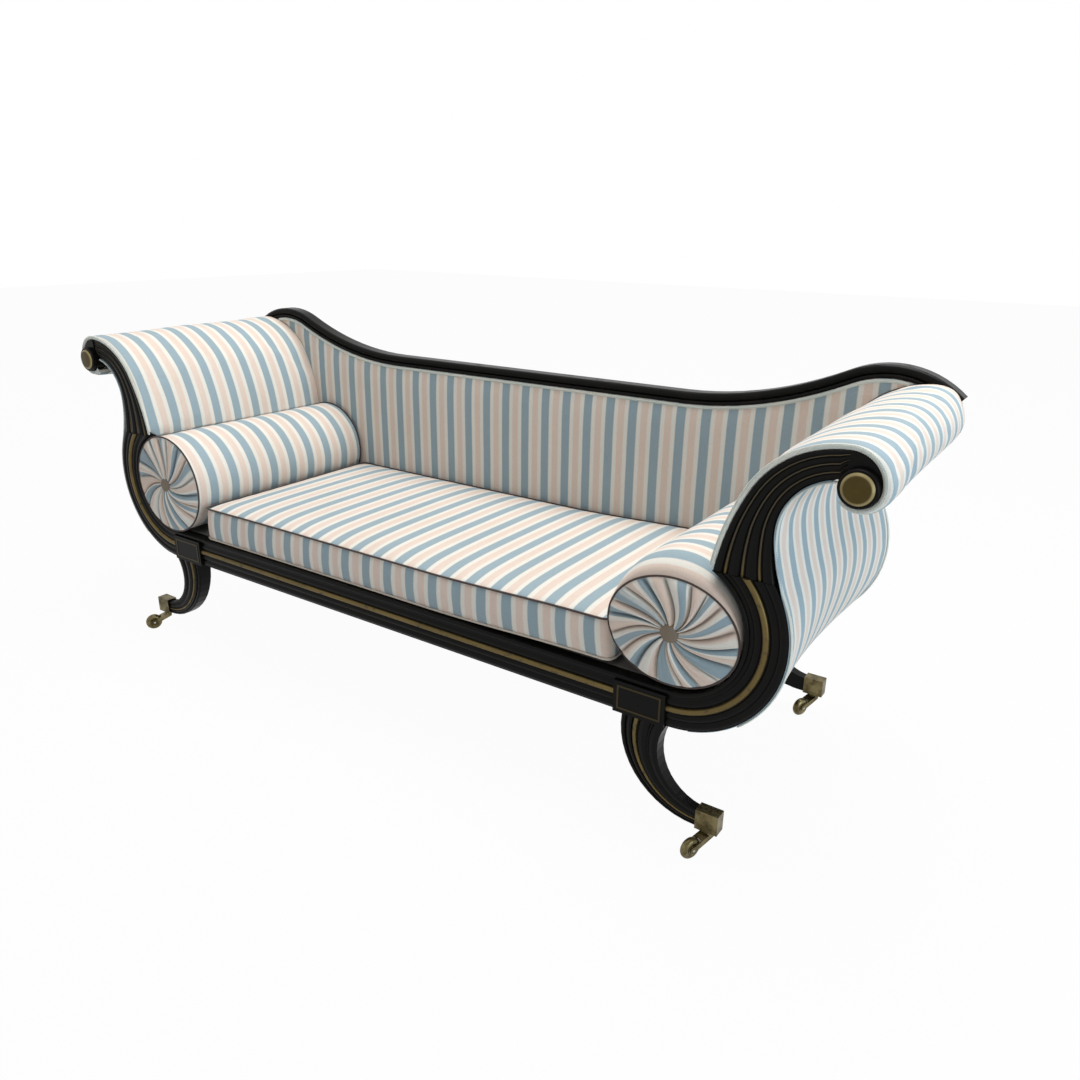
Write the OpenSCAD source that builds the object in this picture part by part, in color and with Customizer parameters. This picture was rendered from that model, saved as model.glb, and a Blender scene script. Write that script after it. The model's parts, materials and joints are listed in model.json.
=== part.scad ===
// Settee with two outward scrolled arms, a low back swept up at both ends,
// sabre legs on brass castors, a loose squab and two bolsters.
// The front plane of the frame is y = 0 while it is drawn, and placed() centres it.

/* [Seat and arm curves] */
// Half the distance between the centres of the two arm curves
curve_x = 737; // [640:1:800]
// Height of the centre of each arm curve
curve_z = 444; // [436:1:452]
// Radius of the hollow in which a bolster lies
trough_r = 133; // [128:1:137]
// Height of the moulded rail, and width of the curved band
band_w = 76; // [70:1:80]
// Depth from the front plane to the back of the rear frames
frame_depth = 637; // [560:1:720]
// Thickness of the rails and arm frames
frame_t = 28; // [26:1:30]
// Height of the waist, where the arm is stepped, over the centre of its curve, as a share of trough_r
waist_share = 0.8722; // [0.84:0.0001:0.89]

/* [Scroll] */
// Distance from the outer edge of an arm curve to the middle of the hollow under the scroll
hollow_past = 57; // [47:1:67]
// Height of the middle of that hollow over the centre of the arm curve
hollow_rise = 204; // [200:1:210]
// Radius of the hollow under the scroll
hollow_r = 103; // [96:1:106]
// Width of the reeded band where it meets the scroll
neck_w = 46; // [42:1:50]
// Radius of the band's upper edge over the scroll
crown_r = 170; // [165:1:176]
// Radius of the scroll's outer turn
volute_r = 50; // [48:1:52]
// Radius of the turned boss in the eye of the scroll
eye_r = 31; // [29:1:32]
// Radius of the brass disc on the boss
disc_r = 25.5; // [24:0.5:28.5]
// Rise of the brass disc
disc_rise = 6; // [4:0.5:8]
// Width of the bevel round the brass disc
disc_bevel = 4; // [2:0.5:6]

/* [Mouldings] */
// Depth from the front plane to the ground of the rail moulding
ground = 6; // [4:0.5:8]
// Depth from the front plane to the ground of the reeded scroll facing
reed_ground = 10; // [8:0.5:12]
// Radius of the bead along the top edge of the rail
bead_r = 5; // [4:0.5:6]
// Radius of each broad reed on the rail
reed_r = 10; // [8:0.5:11]
// Radius of the gilt bead on rail and arm curves
gilt_r = 6; // [4:0.5:7]
// Width of the gilt line round a tablet
line_w = 4; // [3:0.5:6]
// Height of the gilt line round a tablet
line_h = 0.8; // [0.5:0.1:1.5]

/* [Legs] */
// Width of the tablet over each leg
tablet_w = 108; // [100:1:116]
// How far a tablet stands before the front plane
tablet_proud = 3; // [2:0.5:5]
// Depth of a leg where it meets the rail
leg_d = 36; // [32:1:40]
// Depth of a leg at its toe
toe_d = 22; // [20:1:28]
// Radius of a leg's convex edge
leg_out_r = 165; // [158:1:172]
// Radius of a leg's hollow edge
leg_in_r = 100; // [96:1:106]
// Distance from the middle of a tablet to the mouth of the toe cap
toe_reach = 130; // [120:1:140]
// Length of the brass toe cap
cap_len = 45; // [40:1:50]
// Height of the toe cap
cap_h = 41; // [40:1:44]
// Wall of the toe cap
cap_wall = 2.5; // [2:0.25:3]
// Length, depth and height of a leg's tenon
tenon = [44, 16, 36];

/* [Castors] */
// Radius of a castor wheel
wheel_r = 21.5; // [20:0.5:22]
// Width of a castor wheel
wheel_w = 16; // [14:0.5:18]
// Distance from the swivel to the wheel's axle
trail = 43; // [36:1:44]
// Direction in which the castors trail at rest
trail_a = -113; // [-180:1:180]
// Radius of the swivel stem
stem_r = 4; // [3.5:0.25:5]
// Length of the swivel stem over the fork
stem_h = 26; // [20:1:28]
// Radius of the fork's round head
head_r = 9; // [8:0.5:10]
// Thickness of each fork cheek
cheek_t = 3; // [2.5:0.25:4]
// Room between the wheel and the toe cap
cap_clear = 3.5; // [3:0.25:6]
// Radius of the axle pin
pin_r = 2.5; // [2:0.25:3]

/* [Back] */
// Height of the crest rail's top edge in the middle
crest_low_z = 737; // [722:1:748]
// Rise of the crest rail's peaks over its level stretch
crest_rise = 106; // [96:1:112]
// Distance of each peak's centre inside the middle of the hollow under the scroll
crest_peak_in = 87.4; // [80:0.2:95]
// Half length of the crest rail's level stretch
crest_flat_x = 450; // [380:1:520]
// Height of the crest rail's face
crest_h = 28; // [26:1:30]
// Depth of the crest rail from front to back
crest_d = 48; // [44:1:52]
// Radius of the crest rail's top edge over each peak
crest_peak_r = 210; // [206:1:214]
// Thickness of the frame inside the back
back_frame_t = 20; // [16:1:22]
// Thickness of the padded inside back
back_pad_t = 13; // [9:1:14]
// Thickness of the covered outside back
back_cover_t = 5; // [3:0.5:7]

/* [Upholstery] */
// Thickness of the arm padding over the scroll
arm_pad_t = 15; // [10:1:18]
// Thickness of the arm padding at the waist
arm_pad_min = 3; // [2:0.5:5]
// Thickness of the webbed lining inside the arm frames
lining_t = 12; // [8:1:14]
// Thickness of the covered outside of each arm
arm_cover_t = 8; // [5:0.5:10]
// Distance from the front plane to the front edge of the arm padding
pad_setback = 6; // [5:0.5:8]
// Height of the squab at its piped edge
squab_h = 85; // [70:1:95]
// Rise of the squab's crown over its piped edge
squab_crown = 16; // [8:1:22]
// Distance from the front plane to the front of the squab
squab_setback = 10; // [8:1:30]
// Clearance between a bolster and the hollow in which it lies
bolster_gap = 4; // [3:0.5:12]
// Clearance between a bolster and the squab
squab_gap = 1.5; // [1:0.5:6]
// How far the squab's sides are drawn in between its corners
squab_draw = 7; // [0:1:12]
// Number of pleats gathered on each end of a bolster
pleats = 24; // [16:1:28]
// Distance from the front plane to the front rim of a bolster
bolster_setback = 2; // [0:1:8]
// Swell of a bolster's pleated end
end_swell = 12; // [8:1:14]
// Radius of the covered button on a bolster
button_r = 10; // [8:0.5:12]

/* [Seat construction] */
// Thickness of the padded deck under the squab
deck_t = 11.7; // [8:0.1:14]
// Width of each webbing strap
web_w = 50; // [40:1:56]
// Thickness of each webbing strap
web_t = 2; // [1.5:0.25:2.5]
// Number of short straps from front to back
short_straps = 9; // [7:1:11]
// Number of long straps from end to end
long_straps = 3; // [2:1:4]
// Width and height of each end rail
end_rail = [28, 58];
// Width and height of each seat brace
brace = [24, 36];
// Width and height of each ledger strip
ledger = [22, 16];
// Length of each side of a corner block
block_side = 50; // [40:1:58]
// Height of a corner block
block_h = 36; // [30:1:40]
// Radius of a screw's shank
screw_r = 2.5; // [2:0.25:3]
// Radius of a screw's head
screw_head_r = 5; // [4:0.25:6]
// Length of a screw
screw_len = 46; // [40:1:50]

/* [Hidden] */

// Colours as the finished pieces show them
ebony = [0.07, 0.065, 0.06];
gilt = [0.62, 0.50, 0.28];
brass = [0.66, 0.60, 0.42];
stripe_blue = [0.60, 0.70, 0.77];
stripe_cream = [0.93, 0.90, 0.84];
beech = [0.72, 0.58, 0.42];
jute = [0.66, 0.58, 0.44];
cambric = [0.16, 0.15, 0.15];
steel = [0.6, 0.6, 0.62];

// Clearances and overruns
gap = 0.3;
run_gap = 0.05;
slack = 0.2;
over = 1;

// Levels of the seat frame
rail_top = curve_z - trough_r;
rail_low = rail_top - band_w;
out_r = trough_r + band_w;
rear_y = frame_depth - frame_t;
trough_c = [curve_x, curve_z];
waist_rise = waist_share * trough_r;
waist_z = curve_z + waist_rise;
tablet_x = curve_x - tablet_w / 2;
tablet_top = rail_top - 2 * bead_r;
deck_top = rail_top + over;
deck_low = deck_top - deck_t;
webs_low = deck_low - 2 * web_t;
inner_rail_low = rail_low + bead_r;

// Shares of the moulded rail's width at which its reeds and gilt bead lie
reed_shares = [0.31, 0.69, 0.885];
reed_sink_share = 0.7;
gilt_share = 0.5;

// Turning points of the arm, seen from the front
hollow_c = [curve_x + out_r + hollow_past, curve_z + hollow_rise];
scroll_top = hollow_c[1] + hollow_r + neck_w;
crown_end_a = 150;
crown_c = [hollow_c[0], scroll_top - crown_r];
crown_p = crown_c + crown_r * ray(crown_end_a);
waist_in = [curve_x + sqrt(pow(trough_r, 2) - pow(waist_rise, 2)), waist_z];
waist_out = [curve_x + sqrt(pow(out_r, 2) - pow(waist_rise, 2)), waist_z];
flank_span = waist_in - crown_p;
flank_r = -(flank_span * flank_span) / (2 * flank_span * ray(crown_end_a));
flank_c = crown_p - flank_r * ray(crown_end_a);
flank_a = 180 - asin((waist_z - flank_c[1]) / flank_r);
waist_step = waist_out[0] - (hollow_c[0] - hollow_r);
waist_drop = hollow_c[1] - waist_z;
waist_r = (pow(waist_step, 2) + pow(waist_drop, 2)) / (2 * waist_step);
waist_c = [hollow_c[0] - hollow_r + waist_r, hollow_c[1]];
waist_a = 180 + asin(waist_drop / waist_r);
out_waist_a = asin(waist_rise / out_r);
in_waist_a = asin(waist_rise / trough_r);
past_waist_a = 20;
volute_c = [hollow_c[0], scroll_top - volute_r];
eye_turn_a = -9;
eye_c = volute_c + (volute_r - eye_r) * ray(eye_turn_a);
core_step_a = 15;
pad_end_a = -135;
cover_start_a = 100;
cover_end_a = -80;
kink_a = 4;

// The point at which the hollow's edge runs into the eye
seat_r = eye_r + 2 * gap;
eye_span = norm(hollow_c - eye_c);
meet_cos = (pow(hollow_r, 2) + pow(eye_span, 2) - pow(seat_r, 2)) / (2 * hollow_r * eye_span);
meet_a = turn(eye_c - hollow_c) + acos(meet_cos);
meet_p = hollow_c + hollow_r * ray(meet_a);
break_a = turn(crown_p - hollow_c);

// Reeds and gilt beads of the scroll facing, as shares of the band's width
scroll_reed_shares = [[0, 0.165], [0.235, 0.445], [0.515, 0.725], [0.795, 1]];
scroll_gilt_shares = [0.20, 0.48, 0.76];
scroll_gilt_half_share = 0.026;
reed_rise_share = 0.055;
reed_steps = 4;
core_inset_share = 0.97;

// Reeds and gilt bead of a leg
leg_reed_shares = [[0, 0.13], [0.16, 0.29], [0.43, 0.7], [0.74, 1]];
leg_gilt_shares = [0.36];
leg_gilt_half_share = 0.055;
leg_steps = 13;

// Crest rail: a level stretch, a rising hollow and a round peak
crest_peak_x = hollow_c[0] - crest_peak_in;
crest_run = crest_peak_x - crest_flat_x;
crest_high_z = crest_low_z + crest_rise;
crest_a = 2 * atan(crest_rise / crest_run);
crest_hollow_r = crest_run / sin(crest_a) - crest_peak_r;
crest_fall_a = 42;
end_clear_a = 0.1;
crest_back = frame_depth + bead_r / 2;
crest_front = crest_back - crest_d;
crest_bead_r = crest_h / 6;
crest_peak_c = [crest_peak_x, crest_high_z - crest_peak_r];

// Legs and castors
cap_low = 2 * wheel_r + cap_clear;
toe_x = tablet_x + toe_reach;
leg_low = cap_low + cap_wall;
leg_top_cap = cap_low + cap_h - cap_wall;
leg_out_c = [toe_x - cap_wall, leg_low + leg_out_r];
leg_in_c = [toe_x + cap_len / 4, leg_top_cap + leg_in_r - cap_wall];
swivel_x = toe_x + cap_len / 2;
front_leg_y = 0;
rear_leg_y = frame_depth - leg_d;
front_toe_y = front_leg_y;
rear_toe_y = frame_depth - toe_d;
wheel_z = wheel_r;
fork_top = cap_low - gap;
fork_inner = wheel_w / 2 + gap;
fork_outer = fork_inner + cheek_t;
eye_boss_r = pin_r + cheek_t + over;
sleeve_r = stem_r + cap_wall;
tread_r = wheel_w / 2;

// Squab and bolsters
bolster_r = trough_r - bolster_gap;
squab_x = curve_x - bolster_r - squab_gap;
squab_back = crest_front - 2 * gap;
bolster_z = deck_top + gap + bolster_r;
bolster_front = bolster_setback;
bolster_back = squab_back;
back_pad_front = rear_y - back_pad_t;

// Front and back of the whole, from which its middle follows
trail_dir = [cos(trail_a), sin(trail_a)];
wheel_reach = (wheel_r - tread_r) * abs(trail_dir[1]) + tread_r;
front_reach = front_toe_y + toe_d / 2 + trail * trail_dir[1] - wheel_reach;
mid_y = (front_reach + crest_back) / 2;

function ray(a) = [cos(a), sin(a)];

function turn(p) = atan2(p[1], p[0]);

// Points along an arc round c, from angle a0 to a1
function arc(c, r, a0, a1, n) = [for (i = [0:n]) c + r * ray(a0 + (a1 - a0) * i / n)];

// Distance from p along a ray at angle a to the far side of a circle
function reach(p, a, c, r) =
    let (m = p - c, b = m * ray(a), q = m * m - r * r)
    -b + sqrt(b * b - q);

function mix(a, b, t) = a + (b - a) * t;

// Inner edge of the arm frame from its waist round the scroll, moved out by d
function arm_edge(d) = concat(
    arc(flank_c, flank_r + d, flank_a, crown_end_a, 8),
    arc(crown_c, crown_r + d, crown_end_a - 4, 90, 14),
    arc(volute_c, volute_r + d, 82, eye_turn_a, 11),
    arc(eye_c, eye_r + d, eye_turn_a - 8, pad_end_a, 12)
);

// The padding's own face, which thickens from the waist to the crown
function pad_edge() = concat(
    [for (i = [0:8])
        let (d = mix(arm_pad_min, arm_pad_t, i / 8))
        flank_c + (flank_r + d) * ray(mix(flank_a, crown_end_a, i / 8))],
    arc(crown_c, crown_r + arm_pad_t, crown_end_a - 4, 90, 14),
    arc(volute_c, volute_r + arm_pad_t, 82, eye_turn_a, 11),
    arc(eye_c, eye_r + arm_pad_t, eye_turn_a - 8, pad_end_a, 12)
);

// Outer edge of the arm frame from under the scroll to below its curve, moved out by d
function back_edge(d) = concat(
    arc(hollow_c, hollow_r - d, cover_start_a, 180, 16),
    arc(waist_c, waist_r - d, 180 + kink_a / 2, waist_a - kink_a, 3),
    arc(trough_c, out_r + d, out_waist_a - kink_a, cover_end_a, 28)
);

// Pairs of edge points across the reeded facing, from the waist to the block round the eye
function facing_rows() = concat(
    [for (i = [0:4])
        let (z = mix(waist_z, hollow_c[1], i / 5))
        [[flank_c[0] - sqrt(pow(flank_r, 2) - pow(z - flank_c[1], 2)), z],
            [waist_c[0] - sqrt(pow(waist_r, 2) - pow(z - waist_c[1], 2)), z]]],
    [for (i = [0:13])
        let (a = mix(180, meet_a, i / 13), low = a > break_a)
        [hollow_c + reach(hollow_c, a, low ? flank_c : crown_c, low ? flank_r : crown_r) * ray(a),
            hollow_c + hollow_r * ray(a)]],
    let (top_a = turn(hollow_c + reach(hollow_c, meet_a, crown_c, crown_r) * ray(meet_a) - crown_c))
    [for (i = [1:2])
        [crown_c + crown_r * ray(mix(top_a, 90, i / 2)),
            eye_c + seat_r * ray(turn(meet_p - eye_c) - core_step_a * i)]]
);

// Pairs of edge points across a leg, from the rail to the toe cap
function leg_rows() =
    let (
        o0 = 180 - asin((rail_low - leg_out_c[1]) / leg_out_r),
        o1 = 360 - acos((toe_x - leg_out_c[0]) / leg_out_r),
        i0 = 180 - asin((rail_low - leg_in_c[1]) / leg_in_r),
        i1 = 360 - acos((toe_x - leg_in_c[0]) / leg_in_r)
    )
    [for (i = [0:leg_steps])
        let (t = i / leg_steps)
        [leg_out_c + leg_out_r * ray(mix(o0, o1, t)), leg_in_c + leg_in_r * ray(mix(i0, i1, t))]];

// Depth of a leg at one of its rows
function leg_depth(i) = mix(leg_d, toe_d, i / leg_steps);

// Front line of a reeded section, as pairs of a share of the width and a share of the rise
function reed_line(reeds) = [
    for (r = reeds)
        for (j = [0:reed_steps])
            let (a = 180 * j / reed_steps)
            [mix(r[0], r[1], (1 - cos(a)) / 2), sin(a)]
];

// One closed ring of points across a reeded band
function reeded_ring(row, line, face, back) =
    let (w = norm(row[1] - row[0]))
    concat(
        [for (p = line)
            let (q = mix(row[0], row[1], p[0]))
            [q[0], face - p[1] * reed_rise_share * w, q[1]]],
        [[row[1][0], back, row[1][1]], [row[0][0], back, row[0][1]]]
    );

// One closed ring of four points across a plain band
function plain_ring(row, front, back) = [
    [row[0][0], front, row[0][1]],
    [row[1][0], front, row[1][1]],
    [row[1][0], back, row[1][1]],
    [row[0][0], back, row[0][1]]
];

// One closed half round ring, for a bead at a share of the band's width
function bead_ring(row, share, half, face) =
    let (w = norm(row[1] - row[0]), u = (row[1] - row[0]) / w, q = mix(row[0], row[1], share))
    [for (j = [0:reed_steps])
        let (a = 180 * j / reed_steps, s = q - u * half * w * cos(a))
        [s[0], face - sin(a) * half * w, s[1]]];

// The middle of a ring of points
function middle(ring) = [for (k = [0:2]) [for (p = ring) p[k]] * [for (p = ring) 1] / len(ring)];

// Triangles between rings of m points, n rings in all
function sides(n, m) = [
    for (i = [0:n - 2])
        for (j = [0:m - 1])
            let (a = i * m + j, b = i * m + (j + 1) % m)
            each [[a, b, b + m], [a, b + m, a + m]]
];

// A closed skin over rings of equal counts, with flat ends or with ends fanned round their middles
module loft(rings, fanned = false) {
    n = len(rings);
    m = len(rings[0]);
    last = (n - 1) * m;
    points = concat([for (r = rings) for (p = r) p], [middle(rings[0]), middle(rings[n - 1])]);
    flats = [[for (j = [0:m - 1]) m - 1 - j], [for (j = [0:m - 1]) last + j]];
    fans = [
        for (j = [0:m - 1])
            let (k = (j + 1) % m)
            each [[k, j, n * m], [last + j, last + k, n * m + 1]]
    ];
    polyhedron(
        fanned ? points : [for (r = rings) for (p = r) p],
        concat(sides(n, m), fanned ? fans : flats),
        convexity = 8
    );
}

// Points inside a reeded ring, set in from its front line and half way to its back
function core_line(ring) =
    let (f = len(ring) - 3, c = (ring[0] + ring[f]) / 2, deep = (ring[0][1] + ring[f + 1][1]) / 2)
    [for (k = [0:f]) let (p = mix(c, ring[k], core_inset_share)) [p[0], deep, p[2]]];

// Triangles that close a reeded ring, which starts at a, over its core line, which starts at g
function reeded_cap(a, g, m) =
    let (f = m - 3)
    concat(
        [for (k = [0:f - 1]) each [
            [a + k + 1, a + k, g + k],
            [a + k + 1, g + k, g + k + 1],
            [a + m - 1, g + k + 1, g + k]
        ]],
        [[a, a + m - 1, g], [a + m - 1, a + m - 2, g + f], [a + m - 2, a + f, g + f]]
    );

// A closed skin over reeded rings
module reeded_loft(rings) {
    n = len(rings);
    m = len(rings[0]);
    points = concat([for (r = rings) for (p = r) p], core_line(rings[0]), core_line(rings[n - 1]));
    start_cap = reeded_cap(0, n * m, m);
    end_cap = [for (t = reeded_cap((n - 1) * m, n * m + m - 2, m)) [t[2], t[1], t[0]]];
    polyhedron(points, concat(sides(n, m), start_cap, end_cap), convexity = 8);
}

// Centres the model between its front and its back
module placed() {
    translate([0, -mid_y, 0]) children();
}

module both_sides() {
    children();
    mirror([1, 0, 0]) children();
}

module on_side(side) {
    mirror([side < 0 ? 1 : 0, 0, 0]) children();
}

// A flat shape of the front view, made solid from y0 to y1
module slab(y0, y1) {
    translate([0, y1, 0]) rotate([90, 0, 0]) linear_extrude(y1 - y0) children();
}

// A section drawn as (depth below the top edge, y), run along x
module run_along(x0, x1, top) {
    translate([x0, 0, top]) rotate([90, 0, 90]) linear_extrude(x1 - x0) rotate(-90) children();
}

// The same section turned round c, its top edge at radius r and its depth inwards or outwards
module run_round(c, r, a0, a1, outwards = true) {
    translate([c[0], 0, c[1]])
        rotate([90, 0, 0])
            rotate_extrude(angle = a1 - a0, start = a0, $fn = 180)
                translate([r, 0])
                    mirror([outwards ? 0 : 1, 0])
                        mirror([0, 1])
                            children();
}

module below_waist() {
    intersection() {
        children();
        translate([0, -frame_t, rail_low - out_r])
            cube([2 * curve_x, 3 * frame_t, waist_z - rail_low + out_r]);
    }
}

// Section of the rail and of the arm curve: a top bead, three reeds and a flat for the gilt bead
module band_section() {
    translate([0, ground]) square([band_w, frame_t - ground]);
    translate([bead_r, ground]) circle(r = bead_r, $fn = 48);
    for (s = reed_shares) {
        intersection() {
            translate([band_w * s, ground + reed_r * reed_sink_share]) circle(r = reed_r, $fn = 64);
            square([band_w, frame_t]);
        }
    }
}

module gilt_section() {
    translate([band_w * gilt_share, ground]) {
        intersection() {
            circle(r = gilt_r, $fn = 48);
            translate([-gilt_r, -gilt_r]) square([2 * gilt_r, gilt_r]);
        }
    }
}

module front_rail() {
    color(ebony) run_along(-curve_x + tablet_w, curve_x - tablet_w, rail_top) band_section();
}

module rear_rail() {
    color(ebony) difference() {
        translate([-curve_x, rear_y, rail_low]) cube([2 * curve_x, frame_t, band_w]);
        both_sides() mortise(rear_leg_y);
    }
}

module end_rails() {
    color(beech) both_sides() difference() {
        translate([tablet_x - end_rail[0] / 2, leg_d, webs_low + web_t - end_rail[1]])
            cube([end_rail[0], rear_y - leg_d, end_rail[1]]);
        screw_places() cylinder(r = screw_r + slack / 2, h = screw_len + over, $fn = 24);
    }
}

module seat_braces() {
    color(beech) both_sides()
        translate([squab_x / 3, frame_t, webs_low - ledger[1] - brace[1]])
            cube([brace[0], rear_y - frame_t, brace[1]]);
}

module seat_ledgers() {
    ledger_x = tablet_x - end_rail[0] / 2 - block_side - ledger[0] / 4;
    for (y = [frame_t, rear_y - ledger[0]]) {
        color(beech) translate([-ledger_x, y, webs_low - ledger[1]])
            cube([2 * ledger_x, ledger[0], ledger[1]]);
    }
}

// Where each corner block stands, drawn for the front right corner
module corners() {
    both_sides() {
        translate([tablet_x - end_rail[0] / 2, leg_d, 0]) children();
        translate([tablet_x - end_rail[0] / 2, rear_y, 0]) mirror([0, 1, 0]) children();
    }
}

module screw_places() {
    for (y = [leg_d + block_side / 3, rear_y - block_side / 3]) {
        translate([tablet_x - end_rail[0] / 2 - block_side / 2, y, webs_low - block_h])
            rotate([0, 90, 0])
                children();
    }
}

module corner_blocks() {
    color(beech) difference() {
        corners()
            translate([0, 0, webs_low - 1.5 * block_h])
                linear_extrude(block_h)
                    polygon([[0, 0], [-block_side, 0], [0, block_side]]);
        both_sides() screw_places() {
            cylinder(r = screw_r + slack / 2, h = screw_len, $fn = 24);
            translate([0, 0, -block_side]) cylinder(r = screw_head_r + slack, h = block_side, $fn = 32);
        }
    }
}

module frame_screws() {
    color(steel) both_sides() screw_places() {
        cylinder(r = screw_r, h = screw_len, $fn = 24);
        translate([0, 0, -screw_head_r / 2]) cylinder(r = screw_head_r, h = screw_head_r / 2, $fn = 32);
    }
}

// Short straps on the ledgers, with long straps lying over them
module seat_webbing() {
    pitch_x = 2 * squab_x / (short_straps + 0.5);
    pitch_y = (rear_y - frame_t) / (long_straps + 1);
    color(jute) {
        for (i = [0:short_straps - 1]) {
            translate([(i - (short_straps - 1) / 2) * pitch_x - web_w / 2, frame_t, webs_low])
                cube([web_w, rear_y - frame_t, web_t]);
        }
        for (i = [1:long_straps]) {
            translate([-tablet_x, frame_t + i * pitch_y - web_w / 2, webs_low + web_t])
                cube([2 * tablet_x, web_w, web_t]);
        }
    }
}

module seat_deck() {
    color(stripe_cream)
        translate([-curve_x + gap, frame_t + gap, deck_low])
            cube([2 * (curve_x - gap), rear_y - frame_t - 2 * gap, deck_t]);
}

module bottom_cloth() {
    cloth_x = curve_x - tablet_w;
    cloth_low = inner_rail_low;
    color(cambric)
        translate([-cloth_x, frame_t, cloth_low])
            cube([2 * cloth_x, rear_y - frame_t, web_t]);
}

// Cut that takes a leg's tenon, with a named slack all round
module mortise(y) {
    translate([tablet_x - tenon[0] / 2 - slack, y + leg_d / 2 - tenon[1] / 2 - slack, rail_low - over])
        cube([tenon[0] + 2 * slack, tenon[1] + 2 * slack, tenon[2] + over + slack]);
}

module tablet(side) {
    color(ebony) on_side(side) difference() {
        union() {
            run_along(curve_x - tablet_w, curve_x, rail_top) band_section();
            translate([curve_x - tablet_w, -tablet_proud, rail_low])
                cube([tablet_w, frame_t + tablet_proud, tablet_top - rail_low]);
            translate([curve_x - tablet_w, -tablet_proud, rail_low])
                cube([tablet_w, leg_d + tablet_proud, webs_low - rail_low - gap]);
        }
        mortise(front_leg_y);
    }
}

// A gilt line set in from each tablet's edge
module tablet_gilding() {
    inset = 2 * line_w;
    h = tablet_top - rail_low;
    color(gilt) both_sides()
        translate([curve_x - tablet_w, 0, rail_low])
            slab(-tablet_proud - line_h, -tablet_proud)
                difference() {
                    translate([inset, inset]) square([tablet_w - 2 * inset, h - 2 * inset]);
                    translate([inset + line_w, inset + line_w])
                        square([tablet_w - 2 * (inset + line_w), h - 2 * (inset + line_w)]);
                }
}

module seat_curve(side) {
    color(ebony) on_side(side)
        below_waist() run_round(trough_c, trough_r, -90, in_waist_a + past_waist_a) band_section();
}

// The reeded arm, from its step at the waist to the plain block round its eye
module scroll_facing(side) {
    line = reed_line(scroll_reed_shares);
    color(ebony) on_side(side)
        reeded_loft([for (row = reversed(facing_rows())) reeded_ring(row, line, reed_ground, frame_t)]);
}

module arm_gilding(side) {
    color(gilt) on_side(side) {
        below_waist() run_round(trough_c, trough_r, -90, in_waist_a + past_waist_a) gilt_section();
        for (s = scroll_gilt_shares) {
            loft([for (row = reversed(facing_rows())) bead_ring(row, s, scroll_gilt_half_share, reed_ground)]);
        }
    }
}

module rail_gilding() {
    color(gilt) run_along(-curve_x + tablet_w, curve_x - tablet_w, rail_top) gilt_section();
}

// Plain block that closes the scroll round its eye, seen from the front
module eye_block() {
    end_row = facing_rows()[len(facing_rows()) - 1];
    run = (end_row[0] - end_row[1]) / norm(end_row[0] - end_row[1]);
    clear = [gap, 0];
    difference() {
        intersection() {
            union() {
                translate(volute_c) circle(r = volute_r, $fn = 240);
                intersection() {
                    translate(crown_c) circle(r = crown_r, $fn = 360);
                    translate([curve_x, volute_c[1]]) square([volute_c[0] - curve_x, crown_r]);
                }
            }
            polygon([
                end_row[1] - run * crown_r + clear,
                end_row[1] + run * crown_r + clear,
                end_row[1] + run * crown_r + clear + [crown_r, 0],
                end_row[1] - run * crown_r + clear + [crown_r, 0]
            ]);
        }
        translate(hollow_c) circle(r = hollow_r, $fn = 240);
    }
}

// Turned bosses that run through the front of each scroll, dished for the disc
module scroll_eyes() {
    color(ebony) both_sides() {
        slab(ground, frame_t) difference() {
            eye_block();
            translate(eye_c) circle(r = eye_r + gap, $fn = 96);
        }
        translate([eye_c[0], 0, eye_c[1]])
            rotate([90, 0, 0])
                rotate_extrude($fn = 96)
                    difference() {
                        translate([0, -frame_t]) square([eye_r, frame_t + ground]);
                        translate([0, ground - over]) square([disc_r + slack, 2 * over]);
                        translate([eye_r, ground]) circle(r = (eye_r - disc_r) / 3, $fn = 24);
                    }
    }
}

// Brass discs with a plain edge, a bevel and a slightly domed face
module scroll_discs() {
    edge_h = disc_rise / 3;
    face_h = disc_rise - edge_h / 2;
    color(brass) both_sides()
        translate([eye_c[0], over - ground, eye_c[1]])
            rotate([90, 0, 0])
                rotate_extrude($fn = 96)
                    polygon([[0, 0], [disc_r, 0], [disc_r, edge_h], [disc_r - disc_bevel, face_h], [0, disc_rise]]);
}

// Flat shape above the underside of the crest rail
module above_crest() {
    tall = crest_high_z;
    low = crest_h + gap;
    hollow_c = [crest_flat_x, crest_low_z + crest_hollow_r];
    join = crest_peak_c + crest_peak_r * ray(90 + crest_a);
    far = crest_peak_c + 2 * crest_peak_r * ray(90 - crest_fall_a - end_clear_a);
    translate([-over, crest_low_z - low]) square([crest_flat_x + over, tall]);
    intersection() {
        translate(hollow_c) circle(r = crest_hollow_r + low, $fn = 360);
        translate([crest_flat_x - over, crest_low_z - 2 * low]) square([join[0] - crest_flat_x + over, tall]);
    }
    difference() {
        polygon([[join[0] - slack, crest_peak_c[1]], crest_peak_c, far, [far[0], tall], [join[0] - slack, tall]]);
        translate(crest_peak_c) circle(r = crest_peak_r - low, $fn = 360);
    }
}

// The whole outline of an arm frame, with its curve, reeded stretch and scroll
module arm_outline() {
    intersection() {
        difference() {
            translate(trough_c) circle(r = out_r, $fn = 240);
            translate(trough_c) circle(r = trough_r, $fn = 240);
        }
        translate([curve_x, curve_z - out_r]) square([out_r, out_r + waist_rise]);
    }
    polygon(concat(
        arm_edge(0),
        [meet_p],
        arc(hollow_c, hollow_r, meet_a + kink_a, 180, 16),
        arc(waist_c, waist_r, 180 + kink_a / 2, waist_a, 4)
    ));
}

module rear_frame(side) {
    color(ebony) on_side(side) slab(rear_y, frame_depth) difference() {
        arm_outline();
        above_crest();
    }
}

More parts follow.
